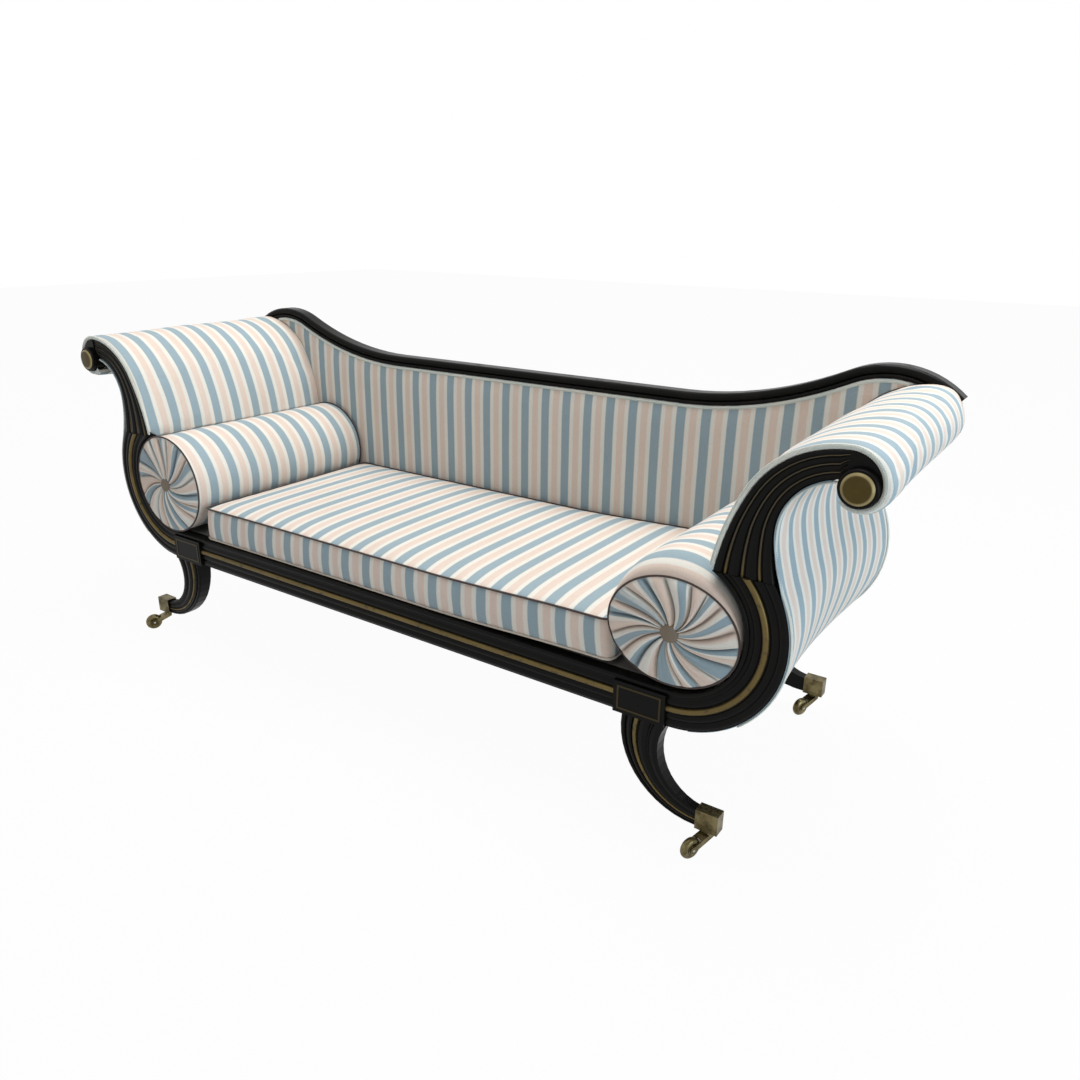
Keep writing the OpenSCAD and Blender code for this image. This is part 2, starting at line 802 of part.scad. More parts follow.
// Bars that tie each front facing to its rear frame, as shares of the frame, its neck and its eye
bar_share = 0.8;
neck_share = 0.6;
roll_share = 0.6;

module arm_bars() {
    bar = frame_t * bar_share;
    side_c = trough_c + (trough_r + lining_t + bar) * ray(0);
    neck_c = mix(facing_rows()[5][0], facing_rows()[5][1], neck_share);
    color(beech) both_sides() {
        slab(frame_t, rear_y) translate(eye_c) circle(r = eye_r * roll_share, $fn = 48);
        slab(frame_t, rear_y) translate(side_c) square([bar, 2 * bar], center = true);
        slab(frame_t, rear_y) translate(neck_c) square([frame_t, bar], center = true);
    }
}

// Face of the crest rail: a round top, a deep groove and a bead along its lower edge
module crest_section() {
    groove_r = crest_bead_r / 2;
    difference() {
        union() {
            translate([crest_bead_r, crest_front + crest_bead_r])
                square([crest_h - crest_bead_r, crest_d - crest_bead_r]);
            translate([2 * crest_bead_r, crest_front + 2 * crest_bead_r])
                circle(r = 2 * crest_bead_r, $fn = 64);
            translate([0, crest_front + 2 * crest_bead_r])
                square([2 * crest_bead_r, crest_d - 4 * crest_bead_r]);
            translate([2 * crest_bead_r, crest_back - 2 * crest_bead_r])
                circle(r = 2 * crest_bead_r, $fn = 64);
            translate([crest_h - crest_bead_r, crest_front + crest_bead_r])
                circle(r = crest_bead_r, $fn = 48);
        }
        translate([crest_h - 2 * crest_bead_r - groove_r, crest_front + crest_bead_r])
            circle(r = groove_r, $fn = 32);
    }
}

module crest_rail() {
    hollow_c = [crest_flat_x, crest_low_z + crest_hollow_r];
    color(ebony) {
        run_along(-crest_flat_x, crest_flat_x, crest_low_z) crest_section();
        both_sides() {
            run_round(hollow_c, crest_hollow_r, -90, crest_a - 90) crest_section();
            run_round(crest_peak_c, crest_peak_r, 90 - crest_fall_a, 90 + crest_a, false) crest_section();
        }
    }
}

// Flat shape of half the back inside an arm's inner edge
module back_half(edge, trough, base) {
    difference() {
        polygon(concat(
            [[-over, base], [curve_x, base]],
            arc(trough_c, trough, -90, in_waist_a - kink_a, 24),
            edge,
            [[eye_c[0], crest_high_z], [-over, crest_high_z]]
        ));
        above_crest();
    }
}

module back_shape(edge, trough, base) {
    back_half(edge, trough, base);
    mirror([1, 0]) back_half(edge, trough, base);
}

// Stretch of an arm edge that bounds the back, up to the top of the crown
function to_crown(edge) = [for (i = [0:20]) edge[i]];

// Windows of the back frame in each of two rows, with the share of their pitch that is open
window_places = [-2, -1, 0, 1, 2];
window_share = 0.57;
window_rails = 2.5;

module back_frame() {
    edge = to_crown(arm_edge(gap));
    stile = 2 * frame_t;
    window_x = (curve_x - tablet_w) / len(window_places) * 2 * window_share;
    window_z = (crest_low_z - crest_h - deck_top - stile * window_rails) / 2;
    color(beech) difference() {
        slab(rear_y, rear_y + back_frame_t) back_shape(edge, trough_r - gap, rail_top + gap);
        for (i = window_places, z = [deck_top + stile, deck_top + stile + window_z + stile / 2]) {
            translate([i * window_x / window_share - window_x / 2, rear_y - over, z])
                cube([window_x, back_frame_t + 2 * over, window_z]);
        }
    }
}

module back_pad() {
    color(stripe_blue)
        slab(back_pad_front, rear_y)
            back_shape(to_crown([for (p = pad_edge()) p + [-gap, gap]]), trough_r - over - gap, deck_top + gap);
}

module back_cover() {
    color(stripe_blue)
        slab(rear_y + back_frame_t, rear_y + back_frame_t + back_cover_t)
            back_shape(to_crown(arm_edge(gap)), trough_r - gap, rail_top + gap);
}

function reversed(list) = [for (i = [len(list) - 1:-1:0]) list[i]];

// Webbed lining between the frames, with the padding that stands proud of them
module arm_pad(side) {
    color(stripe_blue) on_side(side) difference() {
        union() {
            slab(pad_setback, rear_y) polygon(concat(pad_edge(), reversed(arm_edge(gap))));
            slab(frame_t + gap, rear_y - gap) polygon(concat(
                to_crown(arm_edge(gap + over)),
                reversed(to_crown(arm_edge(-lining_t)))
            ));
            slab(frame_t + gap, rear_y - gap) intersection() {
                difference() {
                    translate(trough_c) circle(r = trough_r + lining_t, $fn = 180);
                    translate(trough_c) circle(r = trough_r - over, $fn = 180);
                }
                translate([curve_x, 0]) square([out_r, waist_z]);
            }
        }
        slab(crest_front - gap, frame_depth) above_crest();
    }
}

module arm_cover(side) {
    color(stripe_cream) on_side(side)
        slab(pad_setback, frame_depth - pad_setback)
            polygon(concat(back_edge(arm_cover_t), reversed(back_edge(gap))));
}

// Wooden toe inside the cap, with the tenon at the other end
module leg_ends(y, toe_y) {
    toe_slack = cap_wall + slack;
    toe_set = tablet_proud + over;
    difference() {
        translate([toe_x - over, toe_y + toe_set, cap_low + toe_slack])
            cube([cap_len - toe_slack + over, toe_d - toe_set - over, cap_h - 2 * toe_slack]);
        translate([swivel_x, toe_y + toe_d / 2, 0])
            cylinder(r = sleeve_r + slack, h = cap_low + cap_h, $fn = 48);
    }
    translate([tablet_x - tenon[0] / 2, y + leg_d / 2 - tenon[1] / 2, rail_low - over])
        cube(tenon + [0, 0, over]);
}

module front_leg(side) {
    line = reed_line(leg_reed_shares);
    rows = leg_rows();
    face = front_leg_y + tablet_proud;
    color(ebony) on_side(side) {
        reeded_loft([for (i = [0:leg_steps]) reeded_ring(rows[i], line, face, front_leg_y + leg_depth(i))]);
        leg_ends(front_leg_y, front_toe_y);
    }
}

module rear_leg(side) {
    rows = leg_rows();
    color(ebony) on_side(side) {
        loft([for (i = [0:leg_steps]) plain_ring(rows[i], frame_depth - leg_depth(i), frame_depth)]);
        leg_ends(rear_leg_y, rear_toe_y);
    }
}

module leg_gilding() {
    color(gilt) both_sides()
        for (s = leg_gilt_shares) {
            loft([for (row = leg_rows())
                bead_ring(row, s, leg_gilt_half_share, front_leg_y + tablet_proud)]);
        }
}

// Places a castor piece at its swivel: side is -1 left or 1 right, y the front of the toe
module at_swivel(side, y) {
    translate([side * swivel_x, y + toe_d / 2, 0]) children();
}

// Brass box over the toe, with the sleeve that takes the castor's stem
module toe_cap(side, y) {
    depth = toe_d + 2 * (cap_wall + slack);
    color(brass) on_side(side) difference() {
        union() {
            difference() {
                translate([toe_x, y + toe_d / 2 - depth / 2, cap_low])
                    cube([cap_len, depth, cap_h]);
                translate([toe_x - over, y - slack, cap_low + cap_wall])
                    cube([cap_len - cap_wall + over, toe_d + 2 * slack, cap_h - 2 * cap_wall]);
            }
            translate([swivel_x, y + toe_d / 2, cap_low])
                cylinder(r = sleeve_r, h = stem_h + cap_wall, $fn = 48);
        }
        translate([swivel_x, y + toe_d / 2, cap_low - over])
            cylinder(r = stem_r + run_gap, h = stem_h + over, $fn = 48);
    }
}

// Shares of its radius at which the horn's back leaves the eye of the fork
boss_shares = [0.6, 0.8];

// Horn of the castor, drawn trailing towards +x: a stem, a round head and two cheeks
module fork(side, y) {
    neck = fork_top - wheel_z;
    bridge_x = trail - wheel_r - gap;
    color(brass) at_swivel(side, y) rotate([0, 0, trail_a]) {
        translate([0, 0, fork_top - over]) cylinder(r = stem_r, h = stem_h - gap + over, $fn = 48);
        difference() {
            union() {
                translate([0, 0, fork_top - neck / 3]) cylinder(r = head_r, h = neck / 3, $fn = 64);
                translate([0, fork_outer, 0]) rotate([90, 0, 0]) linear_extrude(2 * fork_outer) {
                    polygon([
                        [-head_r / 2, fork_top - neck / 3 + over],
                        [-head_r / 2, wheel_z + neck / 2],
                        [trail, wheel_z - eye_boss_r],
                        [trail + eye_boss_r * boss_shares[0], wheel_z + eye_boss_r * boss_shares[1]],
                        [head_r * boss_shares[1], fork_top - neck / 4],
                        [head_r / 2, fork_top - over]
                    ]);
                    translate([trail, wheel_z]) circle(r = eye_boss_r, $fn = 48);
                }
            }
            translate([trail, fork_inner, wheel_z])
                rotate([90, 0, 0])
                    cylinder(r = wheel_r + 2 * over, h = 2 * fork_inner, $fn = 96);
            translate([trail, fork_outer + over, wheel_z])
                rotate([90, 0, 0])
                    cylinder(r = pin_r, h = 2 * (fork_outer + over), $fn = 32);
        }
    }
}

module axle(side, y) {
    color(steel) at_swivel(side, y)
        rotate([0, 0, trail_a])
            translate([trail, fork_outer + over / 2, wheel_z])
                rotate([90, 0, 0])
                    cylinder(r = pin_r, h = 2 * fork_outer + over, $fn = 32);
}

// A brass wheel with a round tread, dished on both faces
module wheel(side, y) {
    hub_r = wheel_r - 1.5 * tread_r;
    color(brass) at_swivel(side, y)
        rotate([0, 0, trail_a])
            translate([trail, 0, wheel_z])
                rotate([90, 0, 0])
                    rotate_extrude($fn = 96)
                        difference() {
                            union() {
                                translate([wheel_r - tread_r, 0]) circle(r = tread_r, $fn = 64);
                                translate([0, -wheel_w / 2]) square([hub_r, wheel_w]);
                                translate([0, -wheel_w / 4]) square([wheel_r - tread_r, wheel_w / 2]);
                            }
                            translate([0, -wheel_w]) square([pin_r + run_gap, 2 * wheel_w]);
                            translate([-wheel_r, -wheel_w]) square([wheel_r, 2 * wheel_w]);
                        }
}

// Plan of the squab as a unit loop, with sides drawn in between its corners
squab_loop = 64;
corner_power = 9;
function plan(i) =
    let (
        a = 360 * (i + 0.5) / squab_loop,
        c = cos(a),
        s = sin(a),
        k = pow(pow(abs(c), corner_power) + pow(abs(s), corner_power), -1 / corner_power)
    )
    [c * k, s * k];

function drawn(p, half) =
    let (u = p[0], v = p[1])
    [u * (half[0] - squab_draw * (1 - pow(v, 2)) * pow(u, 8)),
        v * (half[1] - squab_draw * (1 - pow(u, 2)) * pow(v, 8))];

function crown(p) = (1 - pow(abs(p[0]), 6)) * (1 - pow(abs(p[1]), 3));

// One loop of the squab: scale towards the middle, rise of the crown and height of the edge
function squab_ring(scale, rise, z) = [
    for (i = [0:squab_loop - 1])
        let (p = plan(i) * scale, q = drawn(p, [squab_x, (squab_back - squab_setback) / 2]))
        [q[0], q[1] + (squab_back + squab_setback) / 2, z + rise * crown(p)]
];

// Rings of the squab, as shares of its plan, of its crown and of its height at the edge
squab_shares = [
    [0.25, 1, 1], [0.5, 1, 1], [0.7, 1, 1], [0.85, 1, 1], [0.95, 1, 1],
    [0.993, 0, 1], [1, 0, 0.7], [1, 0, 0.3], [0.993, 0, 0.06], [0.97, 0, 0]
];

module squab() {
    low = deck_top + gap;
    color(stripe_cream)
        loft([for (s = squab_shares) squab_ring(s[0], squab_crown * s[1], low + squab_h * s[2])], true);
}

// Pleated end of a bolster: shares of its radius and of its swell, from the button to the rim
end_shares = [[0.08, 0.15], [0.16, 0.45], [0.34, 0.85], [0.58, 1], [0.8, 0.8], [0.94, 0.4], [1, 0]];
pleat_share = 0.22;
rim_share = 0.91;
pleat_points = 3;

function pleat_ring(share, y, swell) = [
    for (i = [0:pleats * pleat_points - 1])
        let (
            a = 360 * i / (pleats * pleat_points),
            fold = (i % pleat_points == 0) ? pleat_share * end_swell * sin(180 * min(share / rim_share, 1)) : 0,
            r = bolster_r * share
        )
        [r * cos(a), y - swell + (swell > 0 ? fold : -fold), r * sin(a)]
];

module bolster(side) {
    n = len(end_shares);
    color(stripe_cream) on_side(side)
        translate([curve_x, 0, bolster_z])
            loft(concat(
                [for (i = [0:n - 1])
                    pleat_ring(end_shares[i][0], bolster_front, end_swell * end_shares[i][1])],
                [for (i = [1:n])
                    pleat_ring(end_shares[n - i][0], bolster_back - end_swell, -end_swell * end_shares[n - i][1])]
            ), true);
}

// Radius of a button's dome, as a share of the button's
dome_share = 1.12;

module bolster_button(side) {
    seat_y = bolster_front - end_swell * end_shares[0][1] - gap;
    color(stripe_cream) on_side(side)
        translate([curve_x, seat_y, bolster_z])
            rotate([90, 0, 0])
                rotate_extrude($fn = 48)
                    intersection() {
                        translate([0, -button_r / 2]) circle(r = button_r * dome_share, $fn = 96);
                        square([button_r, button_r]);
                    }
}

placed() front_rail();
placed() rear_rail();
placed() end_rails();
placed() seat_braces();
placed() corner_blocks();
placed() frame_screws();
placed() seat_ledgers();
placed() seat_webbing();
placed() seat_deck();
placed() bottom_cloth();
placed() tablet(-1);  // left_tablet
placed() tablet(1);  // right_tablet
placed() seat_curve(-1);  // left_seat_curve
placed() seat_curve(1);  // right_seat_curve
placed() scroll_facing(-1);  // left_scroll_facing
placed() scroll_facing(1);  // right_scroll_facing
placed() scroll_eyes();
placed() scroll_discs();
placed() rear_frame(-1);  // left_rear_frame
placed() rear_frame(1);  // right_rear_frame
placed() arm_bars();
placed() crest_rail();
placed() back_frame();
placed() back_pad();
placed() back_cover();
placed() arm_pad(-1);  // left_arm_pad
placed() arm_pad(1);  // right_arm_pad
placed() arm_cover(-1);  // left_arm_cover
placed() arm_cover(1);  // right_arm_cover
placed() front_leg(-1);  // front_left_leg
placed() front_leg(1);  // front_right_leg
placed() rear_leg(-1);  // rear_left_leg
placed() rear_leg(1);  // rear_right_leg
placed() toe_cap(-1, front_toe_y);  // front_left_toe_cap
placed() toe_cap(1, front_toe_y);  // front_right_toe_cap
placed() toe_cap(-1, rear_toe_y);  // rear_left_toe_cap
placed() toe_cap(1, rear_toe_y);  // rear_right_toe_cap
placed() fork(-1, front_toe_y);  // front_left_fork
placed() fork(1, front_toe_y);  // front_right_fork
placed() fork(-1, rear_toe_y);  // rear_left_fork
placed() fork(1, rear_toe_y);  // rear_right_fork
placed() axle(-1, front_toe_y);  // front_left_axle
placed() axle(1, front_toe_y);  // front_right_axle
placed() axle(-1, rear_toe_y);  // rear_left_axle
placed() axle(1, rear_toe_y);  // rear_right_axle
placed() wheel(-1, front_toe_y);  // front_left_wheel
placed() wheel(1, front_toe_y);  // front_right_wheel
placed() wheel(-1, rear_toe_y);  // rear_left_wheel
placed() wheel(1, rear_toe_y);  // rear_right_wheel
placed() rail_gilding();
placed() arm_gilding(-1);  // left_arm_gilding
placed() arm_gilding(1);  // right_arm_gilding
placed() leg_gilding();
placed() tablet_gilding();
placed() squab();
placed() bolster(-1);  // left_bolster
placed() bolster(1);  // right_bolster
placed() bolster_button(-1);  // left_button
placed() bolster_button(1);  // right_button
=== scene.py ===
"""Dresses a settee with scrolled arms: striped covers, cushions, trims and finishes round its frame."""

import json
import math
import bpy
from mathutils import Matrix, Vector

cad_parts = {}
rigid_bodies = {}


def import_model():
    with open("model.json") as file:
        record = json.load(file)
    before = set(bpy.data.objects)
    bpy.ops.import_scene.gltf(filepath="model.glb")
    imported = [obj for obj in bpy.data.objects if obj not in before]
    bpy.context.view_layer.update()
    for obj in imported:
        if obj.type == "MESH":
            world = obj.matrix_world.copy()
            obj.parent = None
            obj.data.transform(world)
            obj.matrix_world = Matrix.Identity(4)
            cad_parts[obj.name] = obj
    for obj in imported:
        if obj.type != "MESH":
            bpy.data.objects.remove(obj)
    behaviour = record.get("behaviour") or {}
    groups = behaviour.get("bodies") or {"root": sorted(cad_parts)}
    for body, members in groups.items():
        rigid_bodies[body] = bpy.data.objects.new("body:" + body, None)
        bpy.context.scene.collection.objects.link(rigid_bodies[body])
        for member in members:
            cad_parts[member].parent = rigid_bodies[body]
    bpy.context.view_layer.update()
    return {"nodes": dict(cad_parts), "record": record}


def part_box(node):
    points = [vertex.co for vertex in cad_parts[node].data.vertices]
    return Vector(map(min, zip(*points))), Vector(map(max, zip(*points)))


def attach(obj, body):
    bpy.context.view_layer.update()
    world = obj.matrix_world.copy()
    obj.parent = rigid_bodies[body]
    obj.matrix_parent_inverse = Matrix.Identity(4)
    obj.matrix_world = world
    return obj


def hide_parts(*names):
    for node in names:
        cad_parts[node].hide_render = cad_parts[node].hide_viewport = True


bl_info = {
    "name": "Recamier",
    "version": (1, 0, 0),
    "blender": (4, 5, 0),
    "location": "View3D > Sidebar > Recamier",
    "description": "Covers, cushions, trims and finishes of a settee with scrolled arms",
    "category": "Object",
}

import bmesh
import bpy
import numpy as np
from bpy.props import FloatProperty, FloatVectorProperty, IntProperty, PointerProperty
from bpy.types import Operator, Panel, PropertyGroup
from mathutils import Matrix, Vector, noise

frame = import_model()

# Boxes of the frame's parts, in metres. FACE is the front plane, from which depths are counted back.
RAIL_LOW, RAIL_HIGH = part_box("front_rail")
CURVE_LOW, CURVE_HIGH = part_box("right_seat_curve")
PAD_LOW, PAD_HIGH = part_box("right_arm_pad")
COVER_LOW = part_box("right_arm_cover")[0]
SQUAB_LOW, SQUAB_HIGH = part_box("squab")
ROLL_LOW, ROLL_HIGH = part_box("right_bolster")
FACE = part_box("rail_gilding")[0].y
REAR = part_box("right_rear_frame")[0].y - FACE
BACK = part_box("right_rear_frame")[1].y - FACE
FRAME_T = BACK - REAR

# The arm seen from the front, with the circles of the wooden frame: radii, angles in degrees, centres
BAND = RAIL_HIGH.z - RAIL_LOW.z
OUT_R = CURVE_HIGH.x - CURVE_LOW.x
TROUGH_R = OUT_R - BAND
TROUGH = np.array([CURVE_LOW.x, CURVE_LOW.z + OUT_R])
WAIST_Z = CURVE_HIGH.z
PAD_T = 0.015
PAD_MIN = 0.003
VOLUTE_R = 0.050
EYE_R = 0.031
CROWN_R = 0.170
HOLLOW_R = 0.103
NECK = 0.046
CROWN_END = 150
EYE_TURN = -9
PAD_END = -135
COVER_START = 100
COVER_END = -80
SCROLL_X = PAD_HIGH.x - PAD_T - VOLUTE_R
SCROLL_TOP = PAD_HIGH.z - PAD_T
# Room between the wood and the cloth on it
TINY = 0.0003
# The crest rail: its height, where it stops being level, and its peaks
CREST_H = 0.028
CREST_FLAT = 0.450
PEAK_R = 0.210
PEAK_IN = 0.0874


def ray(degrees):
    """The unit direction at an angle, seen from the front."""
    return np.array([math.cos(math.radians(degrees)), math.sin(math.radians(degrees))])


def turn(p):
    """The angle at which a point lies, in degrees."""
    return math.degrees(math.atan2(p[1], p[0]))


HOLLOW = np.array([SCROLL_X, SCROLL_TOP - NECK - HOLLOW_R])
CROWN = np.array([SCROLL_X, SCROLL_TOP - CROWN_R])
VOLUTE = np.array([SCROLL_X, SCROLL_TOP - VOLUTE_R])
EYE = VOLUTE + (VOLUTE_R - EYE_R) * ray(EYE_TURN)
WAIST_RISE = WAIST_Z - TROUGH[1]
WAIST_IN = np.array([TROUGH[0] + math.sqrt(TROUGH_R**2 - WAIST_RISE**2), WAIST_Z])
IN_WAIST = math.degrees(math.asin(WAIST_RISE / TROUGH_R))
OUT_WAIST = math.degrees(math.asin(WAIST_RISE / OUT_R))
CROWN_P = CROWN + CROWN_R * ray(CROWN_END)
FLANK_SPAN = WAIST_IN - CROWN_P
FLANK_R = -(FLANK_SPAN @ FLANK_SPAN) / (2 * FLANK_SPAN @ ray(CROWN_END))
FLANK = CROWN_P - FLANK_R * ray(CROWN_END)
FLANK_A = 180 - math.degrees(math.asin((WAIST_Z - FLANK[1]) / FLANK_R))
WAIST_STEP = TROUGH[0] + math.sqrt(OUT_R**2 - WAIST_RISE**2) - (HOLLOW[0] - HOLLOW_R)
WAIST_DROP = HOLLOW[1] - WAIST_Z
WAIST_R = (WAIST_STEP**2 + WAIST_DROP**2) / (2 * WAIST_STEP)
WAIST = np.array([HOLLOW[0] - HOLLOW_R + WAIST_R, HOLLOW[1]])
WAIST_A = 180 + math.degrees(math.asin(WAIST_DROP / WAIST_R))


class ClothSettings(PropertyGroup):
    """The striped cloth and its trims."""

    repeat: FloatProperty(
        name="Repeat", description="Width of one repeat of the stripes", default=0.0655, unit="LENGTH"
    )
    blue_share: FloatProperty(
        name="Blue share", description="Share of the repeat that is blue", default=0.37, subtype="FACTOR"
    )
    pink_share: FloatProperty(
        name="Pink share", description="Share of the repeat that is pink", default=0.28, subtype="FACTOR"
    )
    blue: FloatVectorProperty(
        name="Blue", description="Colour of the wide stripe", default=(0.268, 0.355, 0.402), subtype="COLOR"
    )
    cream: FloatVectorProperty(
        name="Cream", description="Colour of the ground", default=(0.71, 0.685, 0.625), subtype="COLOR"
    )
    pink: FloatVectorProperty(
        name="Pink",
        description="Colour of the second stripe",
        default=(0.68, 0.555, 0.475),
        subtype="COLOR",
    )
    piping: FloatVectorProperty(
        name="Piping",
        description="Colour of the dark piping",
        default=(0.060, 0.040, 0.034),
        subtype="COLOR",
    )
    gimp: FloatVectorProperty(
        name="Gimp", description="Colour of the braid", default=(0.72, 0.765, 0.71), subtype="COLOR"
    )
    piping_r: FloatProperty(
        name="Piping radius", description="Radius of the piping cord", default=0.0024, unit="LENGTH"
    )
    gimp_w: FloatProperty(
        name="Gimp width", description="Width of the braid along the frame", default=0.0095, unit="LENGTH"
    )


class FinishSettings(PropertyGroup):
    """Paint and metal of the frame."""

    ebony: FloatVectorProperty(
        name="Ebonised wood",
        description="Colour of the black frame",
        default=(0.0035, 0.0032, 0.0028),
        subtype="COLOR",
    )
    gilt: FloatVectorProperty(
        name="Gilding",
        description="Colour of the gilt lines",
        default=(0.190, 0.135, 0.043),
        subtype="COLOR",
    )
    brass: FloatVectorProperty(
        name="Brass",
        description="Colour of the castors and discs",
        default=(0.145, 0.120, 0.060),
        subtype="COLOR",
    )


class FillingSettings(PropertyGroup):
    """How the cushions are stuffed."""

    pleats: IntProperty(name="Pleats", description="Pleats on each end of a bolster", default=18, min=8)
    pressure: FloatProperty(name="Pressure", description="Pressure of the filling", default=4.0, min=0)
    frames: IntProperty(name="Frames", description="Steps of the filling simulation", default=20, min=2)


class Wire:
    """A socket of a node tree that takes part in sums."""

    def __init__(self, weave, socket):
        self.weave = weave
        self.socket = socket

    def math(self, operation, *others):
        inputs = {i: value for i, value in enumerate([self, *others])}
        return self.weave.add("ShaderNodeMath", {"operation": operation}, inputs)

    def __add__(self, other):
        return self.math("ADD", other)

    def __sub__(self, other):
        return self.math("SUBTRACT", other)

    def __mul__(self, other):
        return self.math("MULTIPLY", other)

    def __truediv__(self, other):
        return self.math("DIVIDE", other)

    def __radd__(self, other):
        return self.math("ADD", other)

    def __rmul__(self, other):
        return self.math("MULTIPLY", other)

    def __rsub__(self, other):
        return self.weave.add("ShaderNodeMath", {"operation": "SUBTRACT"}, {0: other, 1: self})

    def smooth(self, low, high):
        """0 below low and 1 above high, with a soft step between."""
        return self.weave.add(
            "ShaderNodeMapRange",
            {"interpolation_type": "SMOOTHSTEP"},
            {"Value": self, "From Min": low, "From Max": high},
        )


class Weave:
    """Adds nodes to a tree."""

    def __init__(self, tree):
        self.tree = tree

    def add(self, kind, settings=None, inputs=None, out=0):
        """Makes a node: its settings first, then the values and links of its sockets."""
        made = self.tree.nodes.new(kind)
        for key, value in (settings or {}).items():
            setattr(made, key, value)
        for key, value in (inputs or {}).items():
            self.join(value, made.inputs[key])
        return Wire(self, made.outputs[out])

    def join(self, value, socket):
        """Links a wire, or each wire of a list, to a socket, or sets the socket's value."""
        if isinstance(value, Wire):
            self.tree.links.new(value.socket, socket)
        elif isinstance(value, list) and value and isinstance(value[0], Wire):
            for wire in value:
                self.tree.links.new(wire.socket, socket)
        else:
            socket.default_value = value

    def split(self, vector):
        """The three parts of a vector."""
        parts = self.tree.nodes.new("ShaderNodeSeparateXYZ")
        self.join(vector, parts.inputs[0])
        return [Wire(self, out) for out in parts.outputs]

    def vector(self, x=0.0, y=0.0, z=0.0):
        return self.add("ShaderNodeCombineXYZ", None, {0: x, 1: y, 2: z})

    def scaled(self, vector, scale):
        """A vector, each part multiplied by its own number."""
        return self.add("ShaderNodeVectorMath", {"operation": "MULTIPLY"}, {0: vector, 1: scale})

    def times(self, vector, scale):
        """A vector as many times as a number says."""
        return self.add("ShaderNodeVectorMath", {"operation": "SCALE"}, {0: vector, "Scale": scale})

    def plus(self, first, second):
        return self.add("ShaderNodeVectorMath", {"operation": "ADD"}, {0: first, 1: second})

    def noise(self, vector, scale, detail=2.0, roughness=0.5):
        """Smooth noise from 0 to 1 over a vector."""
        inputs = {"Vector": vector, "Scale": scale, "Detail": detail, "Roughness": roughness}
        return self.add("ShaderNodeTexNoise", {"noise_dimensions": "3D"}, inputs)

    def blend(self, share, first, second, kind="MIX"):
        """A mix of two colours, by a share."""
        made = self.tree.nodes.new("ShaderNodeMix")
        made.data_type = "RGBA"
        made.blend_type = kind
        for socket, value in ((made.inputs[0], share), (made.inputs[6], first), (made.inputs[7], second)):
            self.join(opaque(value), socket)
        return Wire(self, made.outputs[2])


def opaque(value):
    """A colour with its fourth number, or any other value as it is."""
    if hasattr(value, "__len__") and len(value) == 3:
        return (value[0], value[1], value[2], 1.0)
    return value


class Finish(Weave):
    """A material and its shader."""

    def __init__(self, name, **constants):
        self.material = bpy.data.materials.new(name)
        self.material.use_nodes = True
        super().__init__(self.material.node_tree)
        self.shader = self.tree.nodes["Principled BSDF"]
        for key, value in constants.items():
            self.shader.inputs[key.replace("_", " ").title().replace("Ior", "IOR")].default_value = value

    def place(self):
        """Where a point lies on the object, in metres."""
        return self.add("ShaderNodeTexCoord", None, None, "Object")

    def cut(self):
        """Where a point lies on the flat cloth: across its stripes, and along them."""
        return self.add("ShaderNodeAttribute", {"attribute_name": "cut"}, None, "Vector")

    def set(self, **links):
        """Links wires to the shader's colour, roughness, metallic or normal."""
        for key, value in links.items():
            self.join(opaque(value), self.shader.inputs[key.replace("_", " ").title()])
        return self.material

    def bump(self, height, strength, distance):
        inputs = {"Height": height, "Strength": strength, "Distance": distance}
        return self.add("ShaderNodeBump", None, inputs)


def settings(name):
    """One of the groups of sizes and colours."""
    return getattr(bpy.context.scene, name)


def once(make):
    """A material that is made at its first use."""
    made = {}

    def get():
        if make.__name__ not in made:
            made[make.__name__] = make()
        return made[make.__name__]

    return get


def woven(finish, cut, thread):
    """Height of a plain weave with threads so far apart, and the slubs of its weft and warp."""
    across, along, _ = finish.split(cut)
    turns = 2 * math.pi / thread
    ribs = (along * turns).math("SINE") * (across * turns * 0.5).math("SINE")
    slubs = finish.noise(finish.scaled(cut, (90.0, 1500.0, 1.0)), 1.0, 1.0)
    warp = finish.noise(finish.scaled(cut, (1500.0, 60.0, 1.0)), 1.0, 1.0)
    return ribs * 0.35 + slubs + warp, slubs, warp


# How far the stripes waver, and how soft their edges are as a share of the repeat
STRIPE_DRIFT = 0.0016
EDGE_SHARE = 0.024
# Distance between the threads of each cloth
STRIPED_THREAD = 0.0011
TWILL_THREAD = 0.0009
CAMBRIC_THREAD = 0.0007
JUTE_THREAD = 0.0024
PIPING_THREAD = 0.0008
# What darkens the striped cloth: gaps between threads, soil, and painted shade in the valleys of its own
# folds
THREAD_SHADE = (0.45, 0.42, 0.38)
SOIL_SHADE = (0.72, 0.66, 0.55)
PAINTED_FOLD_SHADE = (0.16, 0.15, 0.14)


